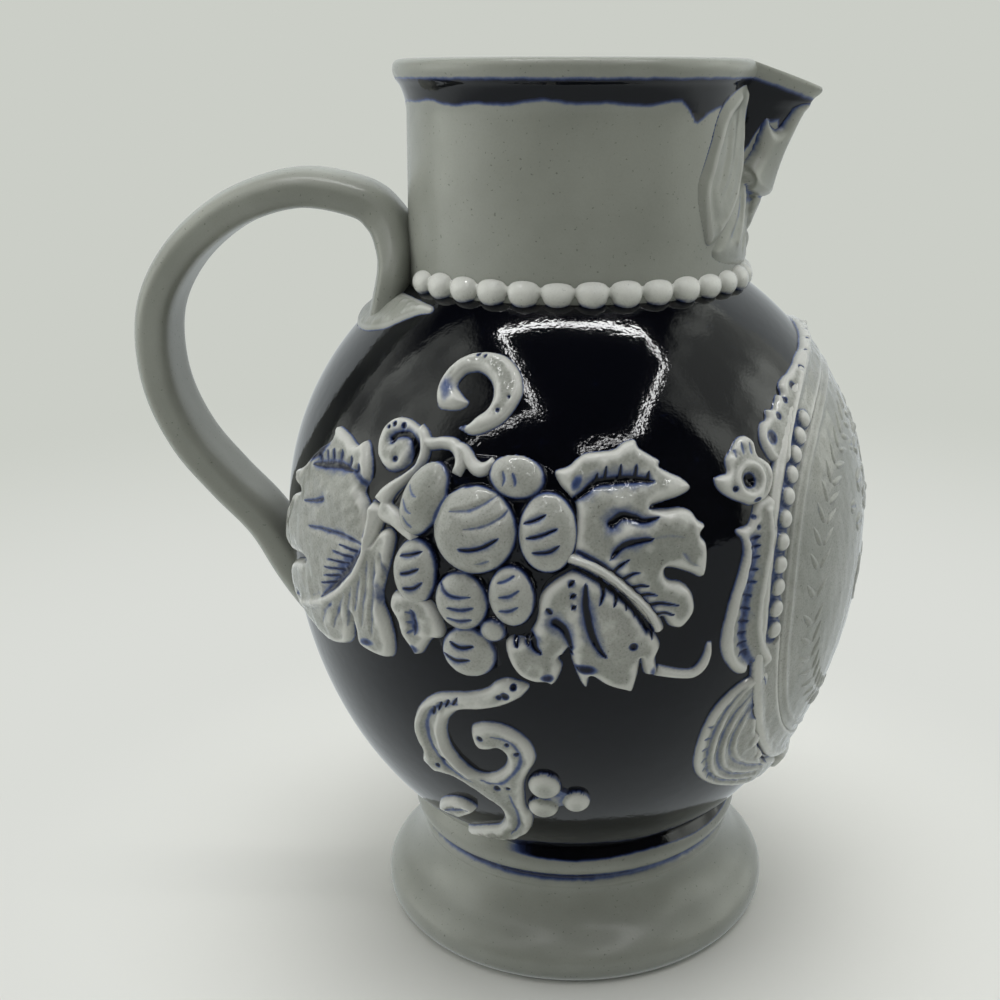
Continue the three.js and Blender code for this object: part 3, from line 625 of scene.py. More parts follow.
def foot():
    outside = smooth_line([
        (26.3, 0), (27.5, 0.4), (28.35, 1.5), (FOOT_RADIUS, 2.8), (28.15, 4.0), (27.0, 5.4), (25.3, 7.0),
        (24.0, 8.8), (23.2, 10.6), (22.95, 11.7), (23.1, 12.3), (22.95, 12.9), (22.7, 13.4), (22.95, 14.0),
        (23.7, 14.7), (24.0, 15.5), (23.85, 16.4), (23.4, 17.3), (WAIST_RADIUS, WAIST_LEVEL),
    ], 6)
    floor = smooth_line([
        (17.4, WAIST_LEVEL), (18.0, 14), (18.9, 10), (19.3, 7.5), (18.6, 5.8), (16.4, 5.1), (13, FLOOR),
    ], 6)
    profile = np.concatenate([[(0, 0), (13, 0)], outside, floor, [(0, FLOOR)]])
    points, faces = turned(profile)
    level = points[:, 2]
    radius = np.hypot(points[:, 0], points[:, 1])
    turn = np.arctan2(points[:, 1], points[:, 0])
    throat = hill(level - THROAT_LEVEL, THROAT_WIDTH) * (0.62 + 0.14 * np.sin(turn * 3 + 0.6))
    # Under the belly the paint runs down to the ridge, short of the handle's side
    run = ramp(level + 0.15 * np.sin(turn * 7), RUN_LOW, RUN_HIGH)
    run = run * ramp(points[:, 0] / np.maximum(radius, 1), -0.5, -0.2)
    cobalt = np.where(radius > FOOT_INSIDE, np.maximum(throat, run), 0)
    make_piece("foot_turned", points, faces, BODY_GLAZE, ["foot"], {"cobalt": cobalt}, 40)


# Belly

# Drawn height of the cobalt ground's lower edge, and how many columns of faces the belly has
GROUND_EDGE = -48
BELLY_COLUMNS = 370


def belly():
    lower = np.stack(belly_arc(False, 90), 1)[::-1]
    upper = np.stack(belly_arc(True, 80), 1)[1:]
    cove = [(SHOULDER_RADIUS - 0.5, NECK_LEVEL + 0.35), (NECK_BASE_RADIUS, NECK_LEVEL + 0.6)]
    inner_upper = np.stack(belly_arc(True, 40, -WALL), 1)[::-1]
    inner_lower = np.stack(belly_arc(False, 50, -WALL), 1)[1:]
    profile = np.concatenate([lower, upper, cove, inner_upper, inner_lower])
    points, faces = turned(profile, BELLY_COLUMNS)
    drawn, radius = (np.interp(points[:, 2], BELLY_TABLE[:, 2], BELLY_TABLE[:, k]) for k in (0, 1))
    # The ground ends low on the belly, higher on the handle's side
    angle = np.arctan2(points[:, 0], -points[:, 1])
    edge = GROUND_EDGE + 7.6 * ramp(np.sin(angle), -0.22, -0.6) + 0.3 * np.sin(angle * 5 + 1)
    outer = np.hypot(points[:, 0], points[:, 1]) > radius - WALL / 2
    cobalt = np.where(outer, np.clip(0.5 + (drawn - edge) / 1.1, 0, 1), 0)
    make_piece("belly_thrown", points, faces, BODY_GLAZE, ["belly"], {"cobalt": cobalt}, 40)


# Neck with its lip and spout

# Levels of the cobalt band under the lip, and of its runs on the spout's cheeks at degrees from the beak
BAND_TOP = 117.7
BAND_LOW = 115.0
CHEEK_RUNS = [
    (0, 113), (3, 110.4), (5.5, 112.6), (9, 112.2), (11.5, 109.6), (13.2, 108.7), (15, 110), (18, 113),
]


def neck_columns():
    """Angles round the neck in degrees, from one side of the spout over it and round."""
    near = np.linspace(-SPOUT_HALF_ANGLE, SPOUT_HALF_ANGLE, 109)
    far = np.linspace(SPOUT_HALF_ANGLE, 360 - SPOUT_HALF_ANGLE, 280)[1:-1]
    return np.concatenate([near, np.where(far > 180, far - 360, far)])


def neck_cobalt(angle, level):
    """Strength of the cobalt under the lip: a band with a wavy edge, runs, and the spout's cheeks."""
    low = BAND_LOW + 0.2 * np.sin(np.radians(angle) * 7 + 1) + 0.15 * np.sin(np.radians(angle) * 17)
    across = np.abs(angle)
    low = low - 2.5 * np.interp(across, [34, 44, 48.8, 52, 55], [0.2, 0.62, 1, 0.35, 0])
    cheek = ramp(across, 26, 20)
    run = np.interp(across, *np.transpose(CHEEK_RUNS))
    low = low * (1 - cheek) + cheek * run
    top = BAND_TOP - SPOUT_DROP * 0.85 * spout_shape(angle, SPOUT_HALF_ANGLE)
    depth = np.minimum(level - low, top - level)
    return np.clip(0.5 + depth / 0.8, 0, 1)


def neck():
    heights = np.linspace(0, LIP_FOOT, 46)[:-1]
    wall = np.stack([neck_radius(heights), heights], 1)
    lip = lip_profile()
    inner_top = lip[-1]
    inner_foot = BELLY_TABLE[-1, 1] - WALL * 1.7
    steps = np.linspace(0, 1, 24)[1:, None]
    inner = inner_top + (np.array([inner_foot, 0]) - inner_top) * steps
    columns = neck_columns()
    profile = np.concatenate([wall, lip, inner])
    # The spout's outside gives way to its channel over these rows, on top of the lip
    outer_rows = len(wall) + 40
    rows = []
    for k, (radius, height) in enumerate(profile):
        share = np.clip((k - outer_rows + 8) / 16, 0, 1)
        reach = SPOUT_REACH + (CHANNEL_REACH - SPOUT_REACH) * share
        half_angle = SPOUT_HALF_ANGLE + (CHANNEL_HALF_ANGLE - SPOUT_HALF_ANGLE) * share
        rows.append(neck_place(columns, radius, height, reach, half_angle))
    points = np.concatenate(rows)
    faces = grid_faces(len(profile), len(columns), close_rows=True, close_columns=True)
    angle = np.tile(columns, len(profile))
    outside = np.repeat(np.arange(len(profile)) < outer_rows, len(columns))
    cobalt = np.where(outside, neck_cobalt(angle, points[:, 2]), 0)
    make_piece("neck_thrown", points, faces, BODY_GLAZE, ["neck"], {"cobalt": cobalt}, 50)


# Bead collar

# How many beads are left out behind the handle
OPEN_BEADS = 5
ROWS_PER_BEAD = 18


def collar_section(round_radius, lift):
    """Radius and level of the collar's section: round, and let into the foot of the neck."""
    angle = np.radians(np.linspace(-105, 105, 24))
    outside = np.stack([COLLAR_RADIUS + round_radius * np.cos(angle),
                        NECK_LEVEL + BEAD_RADIUS - 0.1 + lift + round_radius * np.sin(angle)], 1)
    back = [(COLLAR_RADIUS - 1.2, NECK_LEVEL + 3.4), (COLLAR_RADIUS - 1.2, NECK_LEVEL + 0.4)]
    return np.concatenate([outside, back])


def bead_collar():
    count = BEAD_COUNT - OPEN_BEADS
    turn = np.arange(-count / 2, count / 2 + 1e-6, 1 / ROWS_PER_BEAD)
    offset = (turn + 0.5) % 1 - 0.5
    swell = np.sqrt(np.clip(1 - (offset / 0.45) ** 2, 0, 1))
    uneven = 1 + 0.04 * np.sin(np.round(turn) * 2.3) + 0.03 * np.sin(np.round(turn) * 5.1)
    rows = []
    for place, size, scale in zip(turn, swell, uneven):
        round_radius = (CORD_RADIUS + (BEAD_RADIUS - CORD_RADIUS) * size) * scale
        section = collar_section(round_radius, 0.45 * (1 - size))
        angle = place / BEAD_COUNT * 2 * math.pi
        out = section[:, 0]
        rows.append(np.stack([out * math.cos(angle), out * math.sin(angle), section[:, 1]], 1))
    points, faces = swept(rows)
    gap = np.repeat(1 - swell, len(rows[0]))
    low = ramp(points[:, 2], NECK_LEVEL + 1.2, NECK_LEVEL + 0.2)
    cobalt = np.clip(low * (0.35 + gap), 0, 1)
    # The beads' upper half is painted paler: a painted highlight where light from above falls
    rim = 0.5 * ramp(points[:, 2], NECK_LEVEL + 0.8, NECK_LEVEL + 2.0)
    make_piece("beads_pressed", points, faces, BEAD_GLAZE, ["bead_collar"],
               {"cobalt": cobalt, "rim": rim}, 60)


# Handle

# Corners of the strap's section, how far its face arches, how much further out each side lies at
# its root and at its foot, how much further out each face lies at its foot, and how deep the back
# of its foot is let in
STRAP_CORNERS = 56
STRAP_ARCH = 0.75
ROOT_SPREAD = 5.2
END_SPREAD = 1.6
END_THICKER = 0.5
END_FILLET = 3.2


def handle_path():
    """The strap's middle from the neck over to the belly, as (x, z)."""
    return smooth_line([(-out, NECK_LEVEL + up) for out, up in HANDLE_ROUTE], 9)


def strap_section(middle, out, place):
    """The strap's rounded section at a place along it, 0 at the neck and 1 on the belly.

    It widens to its root on the neck and to its foot, where the back is let into the belly.
    """
    angle = -(np.arange(STRAP_CORNERS) + 0.5) / STRAP_CORNERS * 2 * math.pi
    root = ramp(place, 0.17, 0.05)
    foot_of_strap = ramp(place, 0.84, 0.97)
    half = HANDLE_WIDTH / 2 + ROOT_SPREAD * root + END_SPREAD * foot_of_strap
    thick = HANDLE_THICKNESS / 2 + END_THICKER * foot_of_strap
    across = half * power(np.cos(angle), 0.56 + 0.3 * root)
    depth = power(np.sin(angle), 0.7) * (thick - STRAP_ARCH)
    # The outside is arched, the back nearly flat
    level = 1 - np.clip(np.abs(across) / half, 0, 1) ** 2
    fillet = END_FILLET * ramp(place, 0.87, 0.945)
    depth = depth + np.where(depth > 0, STRAP_ARCH * level, -STRAP_ARCH + 0.25 * level - fillet * level)
    return np.stack([middle[0] + out[0] * depth, across, middle[1] + out[1] * depth], 1)


def handle():
    path = handle_path()
    along = np.gradient(path, axis=0)
    along /= np.linalg.norm(along, axis=1)[:, None]
    outward = np.stack([along[:, 1], -along[:, 0]], 1)
    share = travelled(path)
    share /= share[-1]
    rows = [strap_section(*place) for place in zip(path, outward, share)]
    points, faces = swept(rows)
    make_piece("handle_pulled", points, faces, BODY_GLAZE, ["handle"],
               {"cobalt": np.zeros(len(points))}, 60)


def handle_spread():
    """Clay smeared from the handle's root over the shoulder, to a point under the beads on each side."""
    half = [
        (0, 29.4), (8, 29.6), (15, 30), (20, 30.9), (22.5, 31.6), (24.2, 32.5), (26.4, 33.6), (29, 34.7),
        (31.6, 35.3), (31, 36.2), (27.6, 36.6), (20, 37), (0, 37),
    ]
    spread = Relief([closed(mirrored(half) + (-FRONT, 0))], 0.7, 1.7, 0.0, lean=0.0)
    spread.rim *= 0.4
    return spread


# Relief: each piece is a height field over a grid of drawn places

# Cobalt in the corner at a piece's foot, the pale line just inside its edge, and how pale the glaze is
# over what stands out. Both pale marks are partly glaze run thin and partly a painted highlight
CORNER_COBALT = 0.75
RIM_STRENGTH = 0.65
RIM_DEPTH = 0.42
RIM_WIDTH = 0.26
CREST_THIN_GLAZE_AND_HIGHLIGHT = 0.6


def plate_faces(front, count):
    """Faces of a plate from those of its front: the front, the back with count added, and the walls."""
    edges = np.concatenate([front[:, [k, (k + 1) % 4]] for k in range(4)])
    keys = edges[:, 0] * count + edges[:, 1]
    border = edges[~np.isin(keys, edges[:, 1] * count + edges[:, 0])]
    walls = np.stack([border[:, 1], border[:, 0], border[:, 0] + count, border[:, 1] + count], 1)
    return np.concatenate([front, front[:, ::-1] + count, walls])


def hand_modelling(u, v):
    """The slight unevenness of a surface that was pressed and touched up by hand."""
    broad = np.sin(1.3 * u + 0.7 * v + 1) * np.sin(0.9 * v - 0.5 * u + 2)
    fine = np.sin(2.9 * u - 1.1 * v) * np.sin(2.3 * v + 0.8 * u + 0.5)
    grit = np.sin(7.1 * u + 2.2 * v) * np.sin(6.3 * v - 1.9 * u)
    return 0.08 * broad + 0.035 * fine + 0.015 * grit


def softened(field, cells):
    """The field averaged over this many cells to each side."""
    wide = 2 * cells + 1
    for axis in (0, 1):
        margin = [(cells + 1, cells) if k == axis else (0, 0) for k in (0, 1)]
        total = np.moveaxis(np.cumsum(np.pad(field, margin, mode="edge"), axis=axis), axis, 0)
        field = np.moveaxis((total[wide:] - total[:-wide]) / wide, 0, axis)
    return field


class Relief:
    """A moulded piece drawn flat. Heights are out from the surface that carries it, in millimetres."""

    def __init__(self, outlines, height, edge=0.8, crown=0.3, spread=2.2, lean=None, cell=CELL):
        self.cell = cell
        self.lean = 0.6 * height if lean is None else lean
        every = np.concatenate(outlines)
        low, high = every.min(0) - 3 * cell, every.max(0) + 3 * cell
        self.u, self.v = np.meshgrid(np.arange(low[0], high[0], cell), np.arange(low[1], high[1], cell))
        self.depth = np.full(self.u.shape, -1e9)
        for outline in outlines:
            self.depth = np.maximum(self.depth, depth_inside(self.u, self.v, outline))
        self.height = height * np.sin(np.clip(self.depth / edge, 0, 1) * math.pi / 2) ** 0.8
        self.height += crown * (1 - np.exp(-np.maximum(self.depth, 0) / spread))
        self.height += hand_modelling(self.u, self.v) * ramp(self.depth, 0.1, 1.1) * min(height, 1)
        self.cobalt = CORNER_COBALT * ramp(self.depth, 0.2, -0.12)
        # The pale line inside each edge and the paleness over raised parts: partly thin glaze, partly
        # painted highlight
        self.rim = RIM_STRENGTH * hill(self.depth - RIM_DEPTH, RIM_WIDTH)
        self.pale = CREST_THIN_GLAZE_AND_HIGHLIGHT

    def near(self, line):
        """Distance from each place to a line, smooth if it has a bend, and how far along it that is."""
        return line_distance(self.u, self.v, smooth_line(line, 5) if len(line) > 2 else line)

    def round_place(self, u, v, across, up, tilt):
        """Each place as seen from u, v, in shares of an ellipse's half sizes."""
        turn = math.radians(tilt)
        x = (self.u - u) * math.cos(turn) + (self.v - v) * math.sin(turn)
        y = (self.v - v) * math.cos(turn) - (self.u - u) * math.sin(turn)
        return x / across, y / up

    def add_cobalt(self, cobalt):
        self.cobalt = np.maximum(self.cobalt, cobalt)

    def stroke(self, line, width=0.5, depth=0.5, ink=0.8, form="lens"):
        """A tooled line: lens is thin at both ends, drop at its end only, and even keeps its width."""
        distance, along = self.near(line)
        taper = {
            "lens": np.sqrt(np.clip(1 - (2 * along - 1) ** 2, 0.02, 1)),
            "drop": np.sqrt(np.clip(1.02 - along, 0.02, 1)),
            "even": np.ones(along.shape),
        }[form]
        # The cut is rounded and wider than its dark core, and a thin wash lies beyond both
        width = width * taper
        self.height -= 0.65 * depth * hill(distance, 1.35 * width) * taper
        core = 1.25 * ink * hill(distance, 0.85 * width)
        wash = 0.45 * ink * hill(distance, 2.1 * width)
        self.add_cobalt(np.clip(np.maximum(core, wash), 0, 1))
        self.rim *= 1 - ramp(hill(distance, width), 0.02, 0.3)

    def strokes(self, lines, **settings):
        for line in lines:
            self.stroke(line, **settings)

    def ridge(self, line, width=0.5, height=0.4, pale=0.35):
        """A raised line with a pale crest, clear of cobalt: partly thin glaze, partly a painted highlight.
        """
        distance, _ = self.near(line)
        rise = hill(distance, width)
        self.height += height * rise
        self.cobalt *= 1 - 0.9 * ramp(rise, 0.35, 0.8) * (self.depth > 0.2)
        # The pale crest is partly glaze run thin and partly a painted highlight
        self.rim = np.maximum(self.rim, pale * ramp(rise, 0.5, 0.95))

    def folds(self, lines, width, height):
        """Broad soft hollows, or swellings where the height is positive."""
        for line in lines:
            distance, along = self.near(line)
            taper = np.clip(np.minimum(along, 1 - along) * 4 + 0.3, 0, 1)
            self.height += height * hill(distance, width) * taper * ramp(self.depth, 0, 0.9)

    def dot(self, u, v, radius, ink=0.85, depth=0.35):
        """A pricked hole with cobalt in it."""
        distance = np.hypot(self.u - u, self.v - v) / radius
        self.height -= depth * hill(distance, 1)
        self.add_cobalt(ink * ramp(distance, 1.2, 0.5))

    def dots(self, places, **settings):
        for place in places:
            self.dot(*place, **settings)

    def stain(self, u, v, across, up, ink=0.5, tilt=0.0):
        """Cobalt that has run thin over the surface."""
        x, y = self.round_place(u, v, across, up, tilt)
        self.add_cobalt(ink * ramp(np.hypot(x, y), 1.25, 0.2))

    def dome(self, u, v, across, up, tilt, height):
        """A round form that stands out of the piece."""
        x, y = self.round_place(u, v, across, up, tilt)
        rise = height * np.sqrt(np.clip(1 - x * x - y * y, 0, 1)) ** 0.9
        self.height = np.maximum(self.height, rise)

    def pool(self, low, high, ink):
        """Cobalt gathers where the piece is lower than low, and none lies above high."""
        self.add_cobalt(ink * ramp(self.height, high, low))

    def glaze_fields(self, height):
        """Cobalt settles in the hollows; what stands out turns pale, partly thin glaze and partly a painted
        highlight.
        """
        raised = np.maximum(height, 0)
        sheltered = softened(softened(raised, 4), 4) - raised
        settled = 0.5 * ramp(sheltered, 0.025, 0.3) * ramp(self.depth, 0.2, 0.6)
        # Pale where the piece stands above its neighbours: partly glaze run thin, partly a painted highlight
        thin = self.pale * ramp(-sheltered, 0.04, 0.24)
        return np.maximum(self.cobalt, settled), np.maximum(self.rim, thin)

    def build(self, name, surface, side, nodes, material=RELIEF_GLAZE, slot="relief_glaze"):
        """The closed mesh on one flank."""
        height = np.where(self.depth > 0, np.maximum(self.height, 0.1), self.depth * 0.4)
        keep = self.depth > -2 * self.cell
        quads = grid_faces(*self.u.shape)
        used, numbers = np.unique(quads[keep.ravel()[quads].all(1)], return_inverse=True)
        u, v, h = (grid.ravel()[used] for grid in (self.u, self.v, height))
        if surface is belly_surface:
            u, v = upright(u, v, self.lean)
        points = np.concatenate([surface(u, v, h), surface(u, v, np.full(h.shape, -SUNK))])
        faces = plate_faces(numbers.reshape(-1, 4), len(used))
        if side == "left":
            points = points * (1, -1, 1)
            faces = faces[:, ::-1]
        cobalt, rim = (np.tile(grid.ravel()[used], 2) for grid in self.glaze_fields(height))
        make_piece(name, points, faces, material, nodes, {"cobalt": cobalt, "rim": rim})


def rear_leaf():
    outline = closed([
        (-27.7, 10), (-28.9, 11.4), (-28.2, 13.2), (-29, 15.5), (-30.6, 17.4), (-32.3, 16.5), (-35, 17.4),
        (-38.2, 17.9), (-37.8, 16.3), (-40, 14.8), (-43.6, 11.5), (-46.3, 10.2), (-45.8, 8.4), (-43.2, 8),
        (-45.9, 7), (-48.2, 3.5), (-49, 0), (-46, -0.9), (-41, -0.4), (-46.5, -2.5), (-48.5, -6),
        (-45, -8.6), (-41, -9.8), (-36.5, -10.6), (-33, -9.8), (-31.1, -8), (-30.4, -4.8), (-29.9, -6.5),
        (-29.6, -8.6), (-27, -9.4), (-24.2, -9.2), (-23.4, -7), (-23.8, -4), (-24.8, -1.5), (-24.2, 1.2),
        (-23.3, 4), (-22.8, 6.6), (-23.5, 7.7), (-25, 7.2), (-26.6, 5.2), (-27.2, 7.5),
    ])
    stalk = band([(-25.9, 10.4, 3), (-26.2, 8.4, 2.7), (-26.7, 6.2, 2.2), (-27.6, 3.6, 1.6)])
    leaf = Relief([outline, stalk], LEAF_HEIGHT)
    leaf.folds([
        [(-29.6, 9), (-32.5, 10), (-36, 10.2)], [(-38, 2.2), (-42, 2.4), (-46, 3)],
        [(-38, -3), (-43, -4.6)], [(-24.8, 2), (-25, -2), (-25.8, -7)], [(-33.6, -5), (-36.6, -8)],
    ], 2.0, 0.3)
    # Fibres of the two lower lobes
    leaf.strokes([
        [(-26.4, 3.4), (-26.8, 0), (-27.6, -3.4), (-28, -6)],
        [(-25.4, 4.2), (-25.4, 1), (-25.9, -3), (-26.2, -6.6)], [(-27.6, 1.2), (-28.6, -1.6), (-29.2, -4)],
        [(-24.4, 4.8), (-24, 1), (-24.4, -1.6)], [(-29.4, -0.6), (-30.6, -3.4), (-31.4, -6.8)],
        [(-31, -2), (-32.8, -4.8), (-34, -7.4)], [(-33.4, -3.4), (-35.4, -5.6), (-37, -7.8)],
    ], width=0.36, depth=0.5, ink=0.27)
    leaf.stroke([(-26.8, 9), (-28, 11.4), (-30, 13), (-31.6, 13.5)], 0.6, 0.7, 0.5)
    leaf.stroke([(-31, 13.3), (-34, 13.5), (-37.5, 12.8), (-40, 12.3)], 0.85, 0.7, 0.72)
    leaf.strokes([
        [(-38.6, 12.8), (-39.2, 14)], [(-37.2, 13.2), (-37.6, 14.7)], [(-35.8, 13.4), (-36, 15.2)],
        [(-34.3, 13.5), (-34.3, 15.4)], [(-32, 13.4), (-31.8, 15)], [(-30.4, 13.2), (-30, 14.4)],
    ], width=0.36, depth=0.4, ink=0.62)
    leaf.stroke([(-36.3, 8.7), (-38, 8.1), (-41, 7.3)], 0.55, 0.6, 0.62, "drop")
    leaf.stroke([(-27.2, 5), (-31, 5.4), (-35, 5.2), (-39, 4.6)], 0.48, 0.5, 0.55)
    leaf.stroke([(-27.2, 4.6), (-28.6, 3), (-30.6, 0.8), (-32.8, -1.4), (-35.6, -3.6)], 1.0, 0.8, 0.66)
    leaf.stain(-30.4, 1.6, 1.6, 3.6, 0.5, -48)
    leaf.strokes([
        [(-28.6, 3.9), (-31.6, 4.2)], [(-29.4, 3), (-33.4, 3)], [(-30.2, 2), (-34.3, 1.7)],
        [(-31, 1), (-34.9, 0.5)], [(-31.9, 0), (-35.2, -0.7)], [(-32.9, -1.1), (-35.9, -1.9)],
    ], width=0.32, depth=0.35, ink=0.66, form="drop")
    leaf.strokes([[(-42.5, -0.7), (-39.5, 0)], [(-45.5, -6.8), (-43.5, -6)]], width=0.5, depth=0.4, ink=0.5)
    leaf.stain(-27.6, -7.6, 2, 0.7, 0.62, 12)
    leaf.stain(-39.6, 14, 0.9, 3.4, 0.85, -52)
    leaf.stain(-25, -0.6, 0.6, 2.4, 0.4)
    leaf.ridge([
        (-26.2, 9.6), (-26.4, 6.8), (-27.2, 3.6), (-29.2, 0.6), (-32.2, -2), (-36, -4.4), (-42, -6.6),
    ], 0.55, 0.55)
    return leaf


def middle_leaf():
    outline = closed([
        (-22.6, 0.1), (-23.4, -1.3), (-23.2, -2.4), (-22.3, -3.6), (-22, -5.2), (-21, -6.6), (-20.2, -7.8),
        (-19.2, -7.4), (-18.4, -6.2), (-17.6, -5.2), (-16.4, -4.9), (-15.6, -3.6), (-17, -0.5),
        (-19.5, 0.6),
    ])
    leaf = Relief([outline], LEAF_HEIGHT)
    leaf.folds([[(-21.6, -1.6), (-21, -4.4)], [(-18, -2), (-18.6, -5)]], 0.9, 0.25)
    leaf.stroke([(-19.9, -1.4), (-19.5, -2.8), (-19.5, -4.6)], 0.7, 0.5, 0.55)
    leaf.strokes([
        [(-19.4, -2.2), (-20.7, -1.8)], [(-19.4, -3.2), (-20.6, -3.2)], [(-19.6, -4.1), (-20.6, -4.6)],
    ], width=0.32, depth=0.3, ink=0.4)
    leaf.stain(-20.1, -6.7, 1.1, 0.8, 0.6)
    return leaf


def front_upper_leaf():
    outline = closed([
        (-2.5, 16.4), (-0.9, 17), (0.2, 17.9), (1.5, 18.6), (4.8, 18.9), (6.2, 19.7), (7.8, 20), (8.3, 19),
        (9.8, 18), (10.8, 17.3), (10.7, 16.6), (12, 15.8), (13.4, 15.1), (14.5, 13.9), (13.2, 13.1),
        (11, 12.6), (9.3, 12.1), (11, 11.7), (12.8, 11.7), (14.2, 11.1), (15, 10), (15.9, 9.2), (15.2, 8.2),
        (15.9, 7), (15.9, 5), (15.5, 3.4), (14.8, 3.2), (13.6, 3.9), (11.5, 4.7), (10.6, 4.7), (10.5, 3.9),
        (11, 3.3), (12.4, 2.9), (13.6, 1.8), (14.2, 0.2), (14.1, -1.2), (13, -2.6), (12.2, -2.9),
        (11.1, -2.4), (10.2, -1.2), (9.3, -2.6), (7.9, -0.9), (6.2, 1.2), (4.4, 2.9), (2.6, 4.3), (1, 5.4),
        (-0.4, 6), (0, 9.5), (0.1, 12.2), (-0.6, 13.5), (-1.9, 14.9),
    ])
    leaf = Relief([outline], LEAF_HEIGHT)
    leaf.folds([
        [(2, 12), (6, 12.8), (10, 13.4), (13.4, 14)], [(4, 9.2), (8, 9.6), (12, 10), (15, 9.4)],
        [(2, 17), (6, 18.2), (9.4, 17.6)],
    ], 1.4, 0.3)
    leaf.folds([[(8.4, 5.8), (11, 6.2), (14.6, 6.2)], [(2, 8.2), (6, 6.6), (9, 5.6)]], 1.0, -0.25)
    leaf.stroke([(-0.8, 12.8), (1, 13.9), (2.5, 15), (4.5, 15.2), (6, 15.3), (8, 15.2), (9.6, 14.8)],
                0.75, 0.9, 0.95)
    leaf.strokes([
        [(2.5, 14.8), (2.7, 16.1)], [(3.6, 15.1), (3.8, 16.8)], [(5.4, 15.2), (5.6, 16.9)],
        [(7.3, 15.2), (7.5, 16.9)], [(8.8, 15), (9, 16)],
    ], width=0.42, depth=0.6, ink=0.95, form="drop")
    leaf.stroke([(4.3, 10.4), (5.5, 11.2), (7, 10.9), (8, 10.5), (9.8, 10.8)], 0.8, 1.2, 0.95, "drop")
    leaf.stroke([(8.6, 11.9), (10.5, 12.1), (13.2, 12.3)], 0.4, 0.4, 0.9)
    leaf.stroke([(4, 6.3), (5.5, 7.8), (7.5, 8.3), (9, 8.4)], 0.6, 0.6, 0.85)
    leaf.stroke([(8.6, 8.4), (11, 8.6), (13, 8.2)], 0.4, 0.25, 0.2)
    leaf.strokes([
        [(4.2, 4.6), (5, 5.5), (6.3, 6.2)], [(5.2, 3.6), (6.4, 4.5), (7.4, 4.6)],
        [(6.2, 2.6), (7.4, 3.1), (8.4, 3)], [(7.2, 1.6), (8.2, 2), (9.4, 1.8)],
        [(8.2, 0.4), (9.6, 0.8), (12, 0.3)], [(9.1, -0.8), (10.2, -0.5), (11.4, -0.8)],
    ], width=0.36, depth=0.45, ink=0.85, form="drop")
    leaf.stroke([(0.4, 7.2), (2, 6.4), (4, 5), (5.8, 3.4), (7.5, 1.6), (9, -0.4), (9.9, -2)],
                0.4, 0.5, 0.7, "even")
    leaf.stroke([(12.5, 6.6), (13.6, 5.2), (14.6, 4.6)], 0.4, 0.3, 0.25)
    leaf.stain(0.2, 15, 0.8, 1.4, 0.6, -30)
    return leaf


